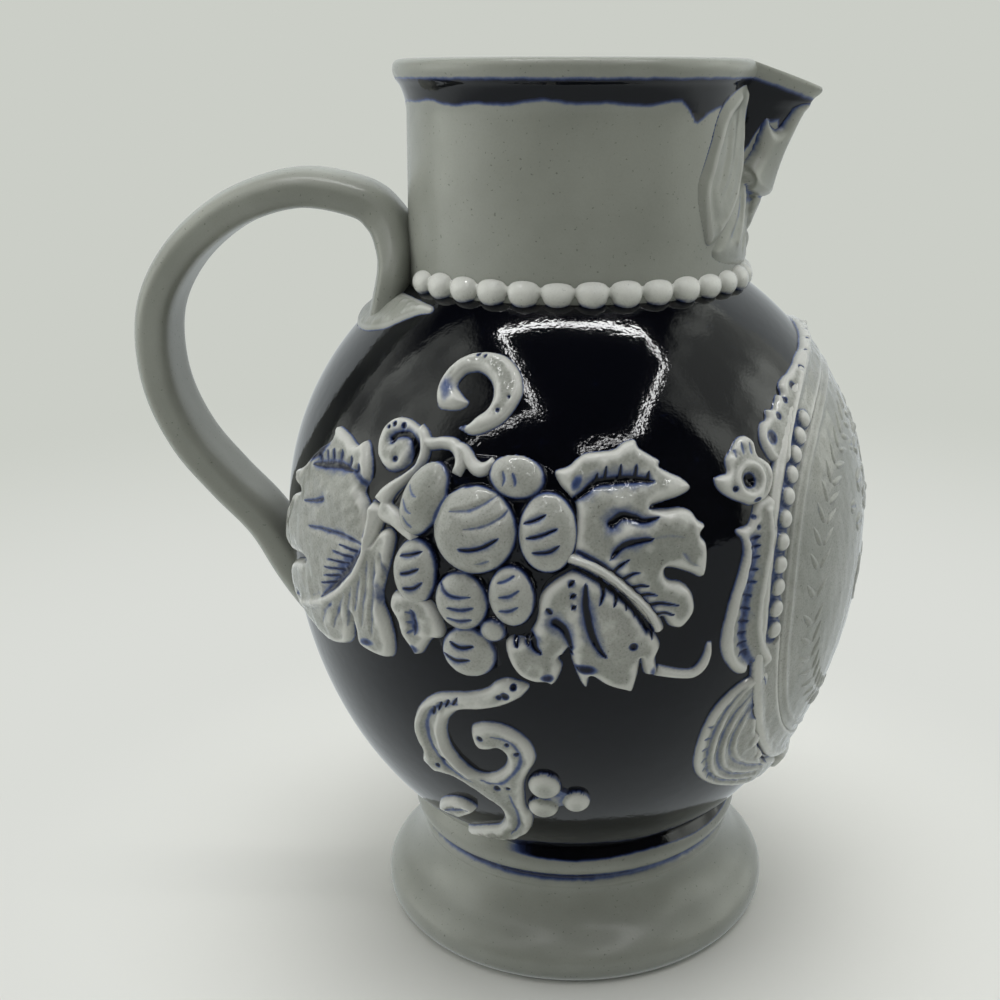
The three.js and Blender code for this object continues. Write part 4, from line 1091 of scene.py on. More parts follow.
def front_lower_leaf():
    outline = closed([
        (-0.9, 4.7), (0.6, 5.2), (2.3, 4.5), (4, 3.2), (6, 1.3), (7.8, -0.8), (8.7, -2.6), (9.6, -3.6),
        (10.1, -5), (9.6, -6.6), (9.9, -8.2), (9.4, -8.8), (8.3, -8.4), (7.8, -6.4), (7.6, -8), (7.3, -9.6),
        (6.9, -10.8), (5.8, -10.6), (3.8, -9.8), (1.9, -8.5), (1.4, -10), (0.9, -9.6), (0.2, -8),
        (-0.4, -6), (-0.7, -4.6), (-1.2, -5.4), (-1.9, -6), (-1.5, -7), (-2, -8.7), (-2.7, -9.7),
        (-3.5, -9.4), (-4.9, -9.4), (-6.6, -8.6), (-7.7, -7), (-8.2, -5), (-8, -3.8), (-7, -3.1),
        (-5.8, -3.5), (-4.7, -1.8), (-4.3, -0.5), (-4.1, 1.5), (-3.2, 3),
    ])
    rib = [(-1, 6.6), (1, 6), (2.6, 5.2), (4.4, 3.9), (6, 2.4), (7.8, 0.6), (9.2, -1.5), (9.8, -3)]
    leaf = Relief([outline, band([(u, v, 1.6) for u, v in rib])], LEAF_HEIGHT)
    leaf.folds([
        [(-0.6, 1.6), (0, -1.6), (0.8, -4.6)], [(3.4, 0.4), (4.4, -3), (5.4, -7)],
        [(-5.6, -6.6), (-3.4, -7.6)],
    ], 1.1, 0.3)
    leaf.strokes([
        [(2.9, 3.9), (3.2, 2.6), (2.8, 1)], [(4.2, 3), (4.7, 2), (4.4, 0.8)],
        [(5.3, 2), (5.9, 1.2), (5.8, 0.2)], [(6.4, 1), (6.9, 0.2), (6.8, -0.8)],
        [(7.2, 0), (7.7, -0.8), (7.5, -1.7)], [(7.9, -1), (8.4, -1.8), (8.2, -2.6)],
        [(8.5, -2.1), (9, -2.9), (8.8, -3.7)],
    ], width=0.42, depth=0.55, ink=0.95, form="drop")
    leaf.stroke([(1.2, 3.6), (1.2, 1), (1.5, -1), (2, -3), (2.8, -4.6), (3.6, -5.5)], 0.62, 0.8, 0.95)
    leaf.stroke([(-2.2, -1.2), (-1.3, -1.9), (-0.7, -3.2), (-0.4, -4.7)], 0.75, 0.8, 0.95, "drop")
    leaf.stroke([(-0.6, 5.4), (0.8, 4.9), (2.2, 4.1), (3.8, 2.9), (5.6, 1.3), (7.2, -0.6), (8.4, -2.6)],
                0.34, 0.5, 0.85, "even")
    leaf.ridge(rib, 0.5, 0.4)
    leaf.stroke([(-7.9, -3), (-6.4, -2.8), (-5, -3.2), (-4.6, -4.4), (-3.8, -5.1)], 0.6, 0.7, 0.95)
    leaf.strokes([
        [(-6.9, -3.2), (-6.6, -4.5)], [(-5.8, -3), (-5.3, -4.2)], [(-0.7, 3.2), (-0.1, 4)],
        [(-0.5, 1.9), (0.1, 2.4)], [(-0.4, 0.7), (0.1, 1)], [(-2.6, -0.2), (-3.2, 0.6)],
    ], width=0.36, depth=0.45, ink=0.9)
    leaf.dot(6.7, -4.4, 0.62)
    leaf.stain(1.2, -7.1, 1.8, 0.8, 0.85, -8)
    leaf.stain(-3.2, -8.3, 1, 0.8, 0.8)
    leaf.stain(9.2, -8, 0.6, 1, 0.5)
    leaf.stain(-0.8, -5.2, 0.8, 0.6, 0.8)
    return leaf


# Place, half width, half height and tilt, and the share of the full height
GRAPES = [
    (-12.2, 9.1, 5.15, 5.1, 0, 1.0),
    (-19.4, 12, 2.8, 4.8, -22, 0.86),
    (-7.3, 15.7, 3.5, 2.5, -8, 0.72),
    (-3.2, 9.3, 3.35, 4.6, 0, 0.88),
    (-19.9, 3, 2.95, 4.1, -6, 0.82),
    (-13.6, 0.3, 3.2, 3.5, 0, 0.84),
    (-7.4, 1.5, 2.6, 3.6, 4, 0.82),
    (-12.9, -6.3, 3.4, 3.2, 0, 0.74),
    (-9.7, -3, 1.5, 1.3, 0, 0.56),
]


def grape_cluster():
    backing = closed([
        (-22, 14), (-17.5, 17), (-14, 18), (-10, 18), (-5, 17.5), (-1.5, 15.5), (0.5, 12.5), (0.5, 6.5),
        (-3.5, 3.2), (-4.3, -1), (-6, -3.4), (-8.2, -4.5), (-9.3, -8), (-13, -9.3), (-16.5, -7),
        (-17.5, -5), (-22, -1), (-23.4, 2), (-23, 8), (-25, 9),
    ])
    grapes = [ellipse_ring(*grape[:5], count=40) for grape in GRAPES]
    cluster = Relief([backing, *grapes], 0.15, 0.3, 0.0, lean=1.1)
    cluster.pale = 0.25
    for u, v, across, up, tilt, height in GRAPES:
        cluster.dome(u, v, across + 0.3, up + 0.3, tilt, height * GRAPE_HEIGHT)
    cluster.rim[:] = 0
    cluster.pool(0.3, 1.35, 0.95)
    cluster.height += 0.5 * hand_modelling(cluster.u, cluster.v)
    cluster.strokes([
        [(-15, 11), (-12.6, 11.3), (-10.9, 12.1), (-9.2, 13.5)],
        [(-13.2, 9.1), (-10.6, 9.7), (-8.6, 10.9), (-7.9, 11.9)], [(-11.6, 5.2), (-10.8, 5.4), (-9.8, 5.8)],
    ], width=0.34, depth=0.5, ink=0.36)
    cluster.stroke([(-13.6, 6.8), (-12, 6.9), (-10.5, 7.4), (-8.7, 8.5)], 0.36, 0.5, 0.8)
    cluster.stroke([(-13.9, 14), (-12.8, 14.3), (-11.9, 14.7)], 0.4, 0.3, 0.6)
    cluster.strokes([
        [(-6, 10.3), (-4.6, 10.7), (-3.3, 11.4)], [(-5.7, 8.6), (-4, 9), (-1.9, 9.9)],
        [(-4.9, 7), (-3, 7.2), (-1.7, 8)],
    ], width=0.34, depth=0.5, ink=0.75)
    cluster.strokes([
        [(-9, 3.2), (-8, 3.5), (-6.8, 4.3)], [(-8.7, 1.6), (-7.3, 1.9), (-6.2, 2.7)],
        [(-8.8, -0.1), (-7.5, 0), (-6.3, 0.7)],
    ], width=0.32, depth=0.45, ink=0.5)
    cluster.strokes([
        [(-21.5, 4.9), (-20, 5.2), (-18.5, 5.8)], [(-21.2, 2.8), (-20, 3.1), (-18.6, 3.8)],
        [(-21, 1), (-19.4, 1.3), (-18.2, 2.2)],
    ], width=0.36, depth=0.5, ink=0.75)
    cluster.strokes([
        [(-16.4, 2.7), (-15.3, 1.5), (-14, 1.1), (-12, 1.3)], [(-15.2, -1.7), (-13.5, -1.9), (-11.9, -1.5)],
        [(-14.9, -0.3), (-13.2, -0.4), (-11.6, 0)],
    ], width=0.34, depth=0.45, ink=0.55)
    cluster.strokes([
        [(-15, -4.8), (-13.5, -5.3), (-11.8, -4.9)], [(-16, -6.6), (-14.3, -7.1), (-12.3, -6.7)],
    ], width=0.36, depth=0.4, ink=0.8)
    cluster.strokes([
        [(-21.2, 13.5), (-20.4, 12.4), (-19.4, 12)], [(-21.8, 11.6), (-21, 10.4), (-20, 10)],
        [(-21.6, 9.6), (-20.8, 8.8), (-20, 8.5)], [(-8.9, 16.2), (-8.6, 15.2), (-8.8, 14.4)],
        [(-7.6, 16), (-7.2, 15), (-7.3, 14.3)],
    ], width=0.28, depth=0.28, ink=0.4)
    return cluster


def vine_tendril():
    curl = closed([
        (-28.5, 18.4), (-28, 20), (-26.5, 21.1), (-24.6, 21.2), (-22.8, 20.7), (-21.4, 19.9), (-21.5, 18),
        (-22.2, 16), (-24, 14.5), (-25.8, 14.4), (-27.4, 15.2), (-28.3, 16.7),
    ])
    stem = band([
        (-22.4, 20, 2), (-21, 19.1, 1.9), (-20.5, 17.2, 1.7), (-21.2, 15.4, 1.6), (-22.4, 14.2, 1.6),
        (-24, 12.9, 1.8), (-25.2, 11.6, 2.4), (-25.8, 10.2, 3.2),
    ])
    branch = band([
        (-26.1, 10.2, 3.2), (-24.8, 9.5, 2.8), (-23.2, 9, 2.5), (-21.2, 8, 2.4), (-19.6, 6.8, 1.6),
    ])
    loop = band([
        (-21, 18.8, 1.5), (-19.6, 18.6, 1.6), (-18, 18.9, 1.6), (-16.4, 18.8, 1.7), (-15.3, 17.9, 1.8),
        (-14.9, 16.6, 1.8), (-15.3, 15.2, 1.6),
    ])
    reach = band([
        (-16, 18.7, 1.4), (-14.6, 18.1, 1.7), (-13.4, 16.8, 1.8), (-12.3, 16.2, 1.9), (-11.2, 16.5, 1.7),
        (-10.3, 17.5, 1.2),
    ])
    tendril = Relief([curl, stem, branch, loop, reach], 0.9, 0.8, 0.25, 1.0, lean=0.8)
    tendril.stroke([(-25.9, 18.4), (-25, 18.9), (-23.5, 19.2), (-22.3, 18.7), (-21.7, 17.4), (-21.9, 16)],
                   0.55, 0.8, 0.9, "even")
    tendril.stroke([(-21.9, 16), (-23, 14.9), (-24.6, 14.2), (-26.2, 14.3), (-27.4, 15.1)],
                   0.42, 0.6, 0.8, "even")
    tendril.dots([
        (-24.4, 20.1, 0.5), (-26, 20.1, 0.4), (-27, 19.6, 0.3), (-24.3, 16, 0.45), (-25.6, 18.1, 0.6),
    ])
    return tendril


def top_scroll():
    outline = closed([
        (-13.9, 22.5), (-14.9, 21.5), (-16.2, 21), (-15.4, 20.6), (-13.9, 20.2), (-11.9, 20.8), (-9.9, 22),
        (-8.4, 24), (-7.7, 26), (-8.2, 28), (-9.6, 29.6), (-11.5, 30.7), (-13.5, 31.1), (-15.5, 31.1),
        (-17.5, 30.7), (-19.2, 29.8), (-20.5, 28.4), (-21.2, 26.8), (-21.3, 25.2), (-20.9, 24), (-20, 23.1),
        (-18.5, 22.9), (-17, 23.1), (-15.9, 23.6), (-15.6, 24.2), (-16.2, 24.6), (-17.5, 25.5),
        (-18.2, 26.3), (-17.8, 27.3), (-17, 28), (-15.5, 28.3), (-14, 27.9), (-12.7, 27), (-12.1, 25.8),
        (-12.1, 24.5), (-12.7, 23.4),
    ])
    scroll = Relief([outline], 0.95, 1.1, 0.35, 1.6, lean=0.8)
    scroll.folds([[(-12, 21.6), (-10, 24), (-10, 27), (-12, 29.2), (-15, 29.8), (-18, 29)]], 1.0, -0.22)
    scroll.dots([(-15.9, 30.4, 0.4), (-14.6, 30.2, 0.35), (-10.7, 23.3, 0.35), (-9.4, 25, 0.25)])
    scroll.stain(-19.2, 25.4, 1.5, 2.2, 0.42, 20)
    scroll.stain(-15.4, 21, 0.8, 0.4, 0.6)
    return scroll


def hook_tendril():
    line = [
        (9.7, -8.2, 1.5), (11.2, -8.7, 1.4), (13, -9.2, 1.3), (14.6, -9.3, 1.4), (15.8, -8.4, 1.4),
        (16.4, -6.9, 1.1), (16.5, -5.4, 0.6),
    ]
    return Relief([band(line)], 0.75, 0.6, 0.0, lean=0.5)


def lower_scroll():
    outline = closed([
        (-5.6, -10), (-6.3, -11.5), (-7.6, -12.6), (-9.5, -13.6), (-12, -14.4), (-14.5, -14.9),
        (-15.8, -15.6), (-17, -17), (-17.6, -19), (-17.6, -21), (-17, -22.8), (-16, -24.3), (-14.6, -25.5),
        (-13.2, -25.8), (-11.8, -25.4), (-10.6, -24.5), (-9.6, -23.3), (-9.3, -22), (-9.6, -20.9),
        (-10.3, -20.4), (-11.5, -20.8), (-12.8, -20.9), (-13.6, -20.2), (-13.9, -18.9), (-13.7, -17.5),
        (-13.2, -16.9), (-11.5, -16.3), (-9.8, -16.3), (-8.2, -16.8), (-6.8, -17.8), (-5.7, -19.3),
        (-5.3, -21), (-5.5, -22.5), (-6.4, -24.3), (-7.2, -26.3), (-7.5, -28.5), (-7.7, -32), (-7.1, -33.5),
        (-7, -35), (-7.4, -37), (-8.3, -39), (-9.8, -40.5), (-11.5, -42), (-14, -43), (-18, -43.9),
        (-24, -44.5), (-24, -43.5), (-21, -42), (-18, -40.5), (-15.5, -39.4), (-13.8, -38.4),
        (-12.6, -36.8), (-12, -35), (-12, -33), (-12.9, -31.6), (-14.3, -30.3), (-15.8, -29),
        (-17.5, -27.9), (-19.5, -27.3), (-21.5, -27.4), (-22.6, -26.5), (-23.3, -25), (-22.4, -23),
        (-22.7, -21.5), (-22.8, -19.2), (-21.9, -16.7), (-20, -14.5), (-17.8, -13), (-15.5, -12.4),
        (-13, -11.9), (-10.8, -11), (-9.5, -9.8), (-8, -9.3),
    ])
    scroll = Relief([outline], 0.85, 0.9, 0.35, 1.5, lean=0.75)
    hollow = [
        (-14.6, -13.6), (-17.4, -14.4), (-19.6, -16.6), (-20.4, -20), (-19.8, -23.4), (-18, -25.8),
        (-15, -27.2),
    ]
    scroll.folds([hollow, [(-10.6, -29), (-10, -32), (-9.6, -35.4), (-10.6, -38.4), (-13.4, -41)]],
                 0.9, -0.35)
    scroll.stroke(hollow, 0.5, 0.25, 0.42)
    scroll.stroke([(-14, -26.4), (-11, -26.6), (-8.6, -24.4), (-7.2, -21.4), (-8.2, -18.6), (-11, -17.8)],
                  0.45, 0.25, 0.4)
    scroll.strokes([
        [(-14.8, -12.8), (-15.6, -14)], [(-16, -13.2), (-16.7, -14.5)], [(-17.2, -13.9), (-17.8, -15.2)],
        [(-18.4, -14.8), (-18.8, -16.2)],
    ], width=0.3, depth=0.35, ink=0.85)
    scroll.stroke([(-9.6, -28.2), (-9.4, -31), (-9.2, -34), (-9.8, -37), (-12, -40)], 0.42, 0.3, 0.42)
    scroll.ridge([(-17.6, -16), (-18.4, -18.6), (-18.4, -21.4), (-17.4, -24), (-15.4, -26)], 0.45, 0.3, 0.3)
    scroll.ridge([(-20.6, -15.8), (-22, -18.6), (-22, -21.4), (-21.6, -24)], 0.45, 0.25, 0.3)
    scroll.dots([
        (-7.4, -10.2, 0.5), (-8.5, -11.5, 0.65), (-9.3, -11.8, 0.45), (-8.8, -19, 0.4), (-7.7, -20.6, 0.45),
        (-11.3, -27.6, 0.6), (-9.6, -27.2, 0.4), (-12.4, -18.6, 0.5), (-19.2, -24, 0.5),
        (-20.2, -25.2, 0.45),
    ])
    return scroll


def berries():
    places = [(-4.4, -26.9, 2.45, 2.5), (-4.9, -31.7, 2.45, 2.25), (0.2, -30.1, 2.15, 2.1)]
    outlines = [ellipse_ring(*place) for place in places]
    outlines.append(closed([
        (-5, -26.2), (-3, -26.8), (-0.2, -28.8), (0.8, -30.6), (-2, -31.6), (-4.6, -32.8), (-6, -31),
    ]))
    group = Relief(outlines, 0.45, 0.5, 0.0, lean=0.8)
    for u, v, a, b in places:
        group.dome(u, v, a, b, 0, 1.4)
    group.rim[:] = 0
    group.pool(0.3, 0.6, 0.85)
    return group


def stem_leaf():
    outline = closed([
        (-16.8, -34.2), (-18.3, -33), (-21, -33.2), (-24, -34.8), (-25.8, -37), (-22, -38), (-19.5, -36.8),
        (-17.5, -35.4),
    ])
    leaf = Relief([outline], LEAF_HEIGHT)
    leaf.stroke([(-18, -34.4), (-21, -35.2), (-24, -36.6)], 0.4, 0.4, 0.5)
    return leaf


# Medallion


def frame_bar():
    outline = closed([
        (22, 8.4), (20.2, 8), (21, 6.8), (21.2, 5.5), (20.8, 4), (20.1, 2), (19.3, 0), (18.8, -2),
        (18.4, -4), (18.2, -6), (18.8, -8), (20, -9.8), (21.4, -11), (22.6, -11.2), (23, -10.2),
        (24.2, -10.9), (25.6, -11.4), (27, -10), (26.4, -8.8), (25.4, -7), (24.8, -5), (24.6, -3),
        (24.8, -1), (25.2, 1), (25.9, 4), (26.6, 6), (27, 8.6), (27, 11.2), (24, 11.2), (22.8, 9.4),
    ])
    bar = Relief([outline], 0.8, 0.9, 0.1, lean=0.7)
    bar.stroke([
        (22.4, 6.6), (22.2, 3.6), (21.4, 0.6), (21, -2.4), (20.9, -5), (21.6, -7.6), (23.2, -9.8), (24, -11),
    ], 0.9, 0.4, 0.46, "even")
    bar.ridge([
        (20.8, 7.4), (21.6, 5.5), (20.9, 2.5), (20, 0), (19.3, -3), (19.1, -6), (20, -8.6), (21.8, -10),
    ], 0.5, 0.35)
    bar.ridge([(25.2, 9.6), (24.9, 6), (24, 2.5), (23.3, -1), (23.2, -4.4), (24.1, -7.4), (25.6, -9.6)],
              0.6, 0.4)
    bar.strokes([
        [(21.9, 6.6), (23.5, 6.8)], [(21.9, 5.6), (23.5, 5.7)], [(21.8, 4.3), (23.3, 4.4)],
        [(21.5, 2.9), (23, 2.8)], [(21.2, 1.5), (22.7, 1.3)], [(20.6, 0.1), (22.1, -0.4)],
        [(20.3, -1.6), (21.9, -2)], [(20.2, -3.3), (21.8, -3.6)], [(20.2, -5), (21.6, -5)],
        [(20.2, -6.6), (21.6, -6.2)], [(20.7, -8), (22, -7.4)],
    ], width=0.4, depth=0.4, ink=0.6)
    bar.dots([(23, 9.2, 0.4), (23.4, 7.9, 0.4)], ink=0.6)
    return bar


def frame_rosette():
    outline = closed([
        (17.9, 14.4), (18.5, 13), (19.8, 12), (21.4, 11.2), (22.6, 10.7), (24.8, 10.7), (26.3, 11.8),
        (27.2, 13.4), (27, 15), (26.2, 15.8), (25.3, 16.5), (25.2, 18.1), (24.1, 19), (22.6, 18.8),
        (21.3, 17.7), (20.1, 16.6), (20, 15), (18.9, 14.8),
    ])
    rosette = Relief([outline], 0.8, 0.8, 0.2, lean=0.6)
    middle = (22.9, 13.6)
    ring = np.linspace(0, 2 * math.pi, 24)
    rosette.ridge(middle + 1.9 * np.stack([np.cos(ring), np.sin(ring)], 1), 0.5, 0.4)
    rosette.dot(*middle, 1.1, 1.0, 0.8)
    rosette.strokes([
        [(21.4, 16.4), (21.6, 17.6)], [(22.6, 16.6), (22.8, 18.2)], [(23.9, 16.5), (24.1, 18.1)],
    ], width=0.35, depth=0.3, ink=0.35)
    rosette.dot(20.4, 12.9, 0.45)
    rosette.stain(23.5, 11.2, 0.8, 0.4, 0.75)
    return rosette


# The frame's inner edge: a full oval round this level of the front
OVAL_LEVEL = -4
OVAL_HALF_WIDTH = 36.1
OVAL_HALF_HEIGHT = 29.6
OVAL_POWER = 2.4
FRAME_BEADS = 11
SHELL_FLUTES = 13

# How far within the oval the garland hangs
GARLAND_INSET = -8


def oval_point(angle, grow=0.0):
    across = power(np.cos(angle), 2 / OVAL_POWER) * (OVAL_HALF_WIDTH + grow)
    up = power(np.sin(angle), 2 / OVAL_POWER) * (OVAL_HALF_HEIGHT + grow)
    return np.stack([FRONT - across, OVAL_LEVEL + up], -1)


def frame_beads():
    """The plain rim down the whole side of the oval, and the row of beads inside its upper half."""
    angle = np.linspace(-1.5, 1.5, 90) * math.pi / 3
    strip = np.concatenate([oval_point(angle, 3.2), oval_point(angle, -1.5)[::-1]])
    row = Relief([strip], 0.6, 0.3, 0.0, lean=0.8)
    row.rim[:] = 0
    row.ridge(oval_point(angle, 2.2), 0.75, 0.4, 0.3)
    line = oval_point(np.linspace(-0.05, 0.82, 200) * math.pi / 3)
    channel, _ = line_distance(row.u, row.v, line[::8])
    row.height -= 0.42 * ramp(channel, 1.6, 1.2)
    row.cobalt = np.where(row.depth > 0.25, 0, row.cobalt)
    length = travelled(line)
    for place in np.linspace(0.02, 0.98, FRAME_BEADS) * length[-1]:
        u, v = (np.interp(place, length, line[:, k]) for k in (0, 1))
        row.stain(u, v, 1.8, 1.8, 0.8)
        row.dome(u, v, 1.3, 1.3, 0, 1.15)
    row.cobalt *= ramp(row.height, 0.8, 0.5)
    return row


def frame_volute():
    outline = closed([
        (26.4, -11.6), (24, -12), (21.5, -13), (19.3, -14.8), (18, -17), (17.3, -20), (17.2, -23),
        (17.8, -26), (19.4, -28.4), (22, -30.6), (25, -32.2), (30, -34.4), (36, -36.2), (41, -36.6),
        (43.6, -35.4), (42, -33.8), (38, -32.4), (33.5, -29.8), (30.5, -26.4), (28.2, -22.8), (27, -19.8),
        (26.6, -16.8), (27.2, -14.2),
    ])
    volute = Relief([outline], 0.8, 0.8, 0.1, lean=0.8)
    ribs = [
        [
            (24.6, -12.9), (21.6, -14.4), (19.6, -17.2), (18.9, -20.6), (19, -23.6), (20, -26.6),
            (22.6, -29.2), (27, -31.4), (33, -33.6),
        ],
        [
            (24.4, -14.6), (22.4, -16.2), (21, -18.8), (20.6, -22), (21.2, -25), (23.2, -27.6), (27, -29.8),
            (33, -32),
        ],
        [(24.4, -17), (23, -19), (22.5, -21.6), (23, -24), (25, -26.4), (29, -28.8), (34, -31)],
    ]
    volute.strokes(ribs, width=0.42, depth=0.35, ink=0.3, form="even")
    for rib in ribs:
        volute.ridge(np.array(rib) + (0.75, 0.35), 0.35, 0.2, 0.3)
    for u, v in ((27.5, -23.5), (30.5, -27.2), (34.6, -30.2)):
        volute.dome(u, v, 1.5, 1.5, 0, 1.15)
    volute.stroke([(25.6, -12.4), (25.5, -14.8), (25.7, -17), (26.2, -19)], 1.1, 0.6, 0.9)
    volute.strokes([
        [(18, -18.2), (19, -18.4)], [(17.8, -20.2), (18.8, -20.3)], [(17.8, -22.2), (18.8, -22.1)],
        [(18.2, -24.4), (19.2, -24)], [(19, -26.4), (19.9, -25.8)], [(20.4, -28.2), (21.2, -27.4)],
        [(22.2, -29.6), (22.9, -28.7)],
    ], width=0.3, depth=0.25, ink=0.4)
    return volute


def medallion_crest():
    outside = [
        (0, 29.6), (5.5, 29), (8.5, 28.6), (12.5, 28), (15, 27.4), (18.5, 26.9), (21.5, 26), (24.6, 25.2),
        (26.5, 24.8), (28, 24.1), (28.5, 22.8), (29.5, 23), (30.7, 22.2), (31.7, 21.4), (33.1, 21.5),
        (33.7, 20.4), (35.1, 20), (35.9, 18.8), (36.1, 17.6), (35.7, 16.3), (34.7, 15),
    ]
    inner = [
        (32.4, 14.4), (31, 16.6), (28.6, 19), (25.4, 21.4), (21, 23.8), (15.8, 25.6), (8.5, 26.8),
        (0, 27.2),
    ]
    pricks = [
        (34.2, 18, 1.1), (31.6, 20.3, 0.6), (28.8, 22, 0.6), (25.6, 23.4, 0.7), (21, 25, 0.6),
        (15.6, 26.4, 0.6), (10.4, 27.3, 0.6), (5, 27.8, 0.6),
    ]
    ring = np.concatenate([flipped(outside[:0:-1], -1), outside, inner, flipped(inner[-2::-1], -1)])
    crest = Relief([closed(ring + (FRONT, 0))], 0.8, 0.7, 0.0, lean=0.5)
    for side in (-1, 1):
        crest.ridge(flipped(inner, side) + (FRONT, 0.8), 0.6, 0.35)
        crest.dots([(FRONT + side * out, v, radius) for out, v, radius in pricks], ink=0.75, depth=0.3)
    return crest


def medallion_shell():
    half = [
        (0, -42.5), (2.5, -42.4), (5.5, -41.2), (9.5, -41.2), (12.5, -39.6), (16, -38.8), (17.9, -36.6),
        (17.5, -34.6), (12, -35), (6, -35.3), (0, -35.4),
    ]
    shell = Relief([closed(mirrored(half) + (FRONT, 0))], 1.5, 0.8, 0.2)
    for out in np.linspace(-15, 15, SHELL_FLUTES):
        shell.stroke([(FRONT + out * 0.62, -35.9), (FRONT + out, -40.4 + abs(out) * 0.12)], 0.5, 0.55, 0.75)
    return shell


def medallion_panel():
    angle = -(np.arange(96) + 0.5) / 96 * 2 * math.pi
    panel = Relief([oval_point(angle, -1.2)], PANEL_HEIGHT, 0.4, 0.0, lean=0.7, cell=0.28)
    panel.cobalt *= 0.3
    panel.rim *= 0.3
    panel.pale = 0.25
    panel.ridge(oval_point(np.linspace(0, 2 * math.pi, 60), -2.8), 0.35, 0.2, 0.2)
    return panel


def leaflets():
    """Pairs of small leaves along the garland: where each lies and where it points."""
    leaves = []
    for turn in np.linspace(-1.25, 1.25, 21):
        u, v = oval_point(turn, GARLAND_INSET)
        after = oval_point(turn + 0.02, GARLAND_INSET) - (u, v)
        heading = math.atan2(after[1], after[0])
        for lean in (heading - 0.75, heading + 0.75):
            leaves.append((u + 2 * math.cos(lean), v + 2 * math.sin(lean), lean))
    return leaves


def garland():
    """The outlines of a leafy spray up each side of the picture."""
    ring = np.linspace(0, 2 * math.pi, 14, endpoint=False)
    x, y = 2.1 * np.cos(ring), 0.85 * np.sin(ring) * (1 - 0.35 * np.cos(ring))
    stem = band([(u, v, 0.8) for u, v in oval_point(np.linspace(-1.3, 1.3, 12), GARLAND_INSET)])
    outlines = [stem] + [placed(x, y, *leaf) for leaf in leaflets()]
    return [flipped(outline - (FRONT, 0), side) + (FRONT, 0) for side in (1, -1) for outline in outlines]


def medallion_motif():
    """A two-handled urn of flowers between leafy sprays."""
    urn = mirrored([
        (0, -22), (6.2, -22), (6.4, -21), (4.4, -19.6), (2.7, -18.2), (2.7, -16.4), (5.4, -14.2),
        (8, -11.2), (9.4, -7.6), (8.6, -4.4), (6, -2.2), (4.4, -0.8), (5.2, 0.6), (0, 0.8),
    ])
    ear = [(8.4, -5, 1.5), (11.4, -4, 1.6), (13, -6.8, 1.6), (11.6, -10, 1.5), (7.6, -11, 1.3)]
    # Flowers and side blooms: distance from the middle line, level and radius
    flowers = [(0, 8, 5.2), (7.8, 5, 3.8), (-7.8, 5, 3.8), (5.2, 13, 3.4), (-5.2, 13, 3.4), (0, 15.6, 3.2)]
    buds = [(12.6, 7.4, 2.6), (14.6, 2.2, 2.2), (10.2, 11.6, 2.2), (17.4, 5.2, 1.7), (13.4, 12.6, 1.5)]
    buds = [(side * out, v, r) for side in (-1, 1) for out, v, r in buds]
    outlines = [closed(urn + (FRONT, 0)), band([(FRONT, 0, 3), (FRONT, 2.4, 3), (FRONT, 4.6, 3)])]
    outlines += garland()
    outlines += [band([(FRONT + side * out, v, wide) for out, v, wide in ear]) for side in (-1, 1)]
    outlines += [ellipse_ring(FRONT + out, v, r, r) for out, v, r in flowers]
    outlines += [ellipse_ring(FRONT + out, v, r, r * 0.8) for out, v, r in buds]
    motif = Relief(outlines, PANEL_HEIGHT + 0.2, 0.9, 0.1, lean=0.7)
    motif.cobalt = np.maximum(0.5 * motif.cobalt, 0.27 * hill(motif.depth, 0.5))
    motif.rim *= 0.1
    motif.pale = 0.05
    for out, v, r in flowers:
        motif.dome(FRONT + out, v, r, r, 0, PANEL_HEIGHT + 0.3)
        motif.dome(FRONT + out, v, r * 0.3, r * 0.3, 0, PANEL_HEIGHT + 0.45)
        for turn in np.radians(126 + 72 * np.arange(5)):
            aim = np.array([math.cos(turn), math.sin(turn)])
            motif.stroke([(FRONT + out, v) + r * 0.32 * aim, (FRONT + out, v) + r * 0.95 * aim],
                         0.4, 0.4, 0.3, "even")
    for out, v, r in buds:
        rise = math.copysign(0.3, out)
        motif.stroke([(FRONT + out - r * 0.8, v - rise), (FRONT + out + r * 0.8, v + rise)],
                     0.35, 0.3, 0.25)
    for level in (-18.9, -15.4, -3.2, -1.2):
        motif.stroke([(FRONT - 8, level), (FRONT + 8, level)], 0.35, 0.3, 0.25, "even")
    for out in (-6, -3.6, -1.2, 1.2, 3.6, 6):
        motif.stroke([(FRONT + out * 0.5, -14.6), (FRONT + out * 1.15, -9), (FRONT + out, -4.6)],
                     0.35, 0.3, 0.25)
    return motif


# Leaf under the spout, on the neck's surface


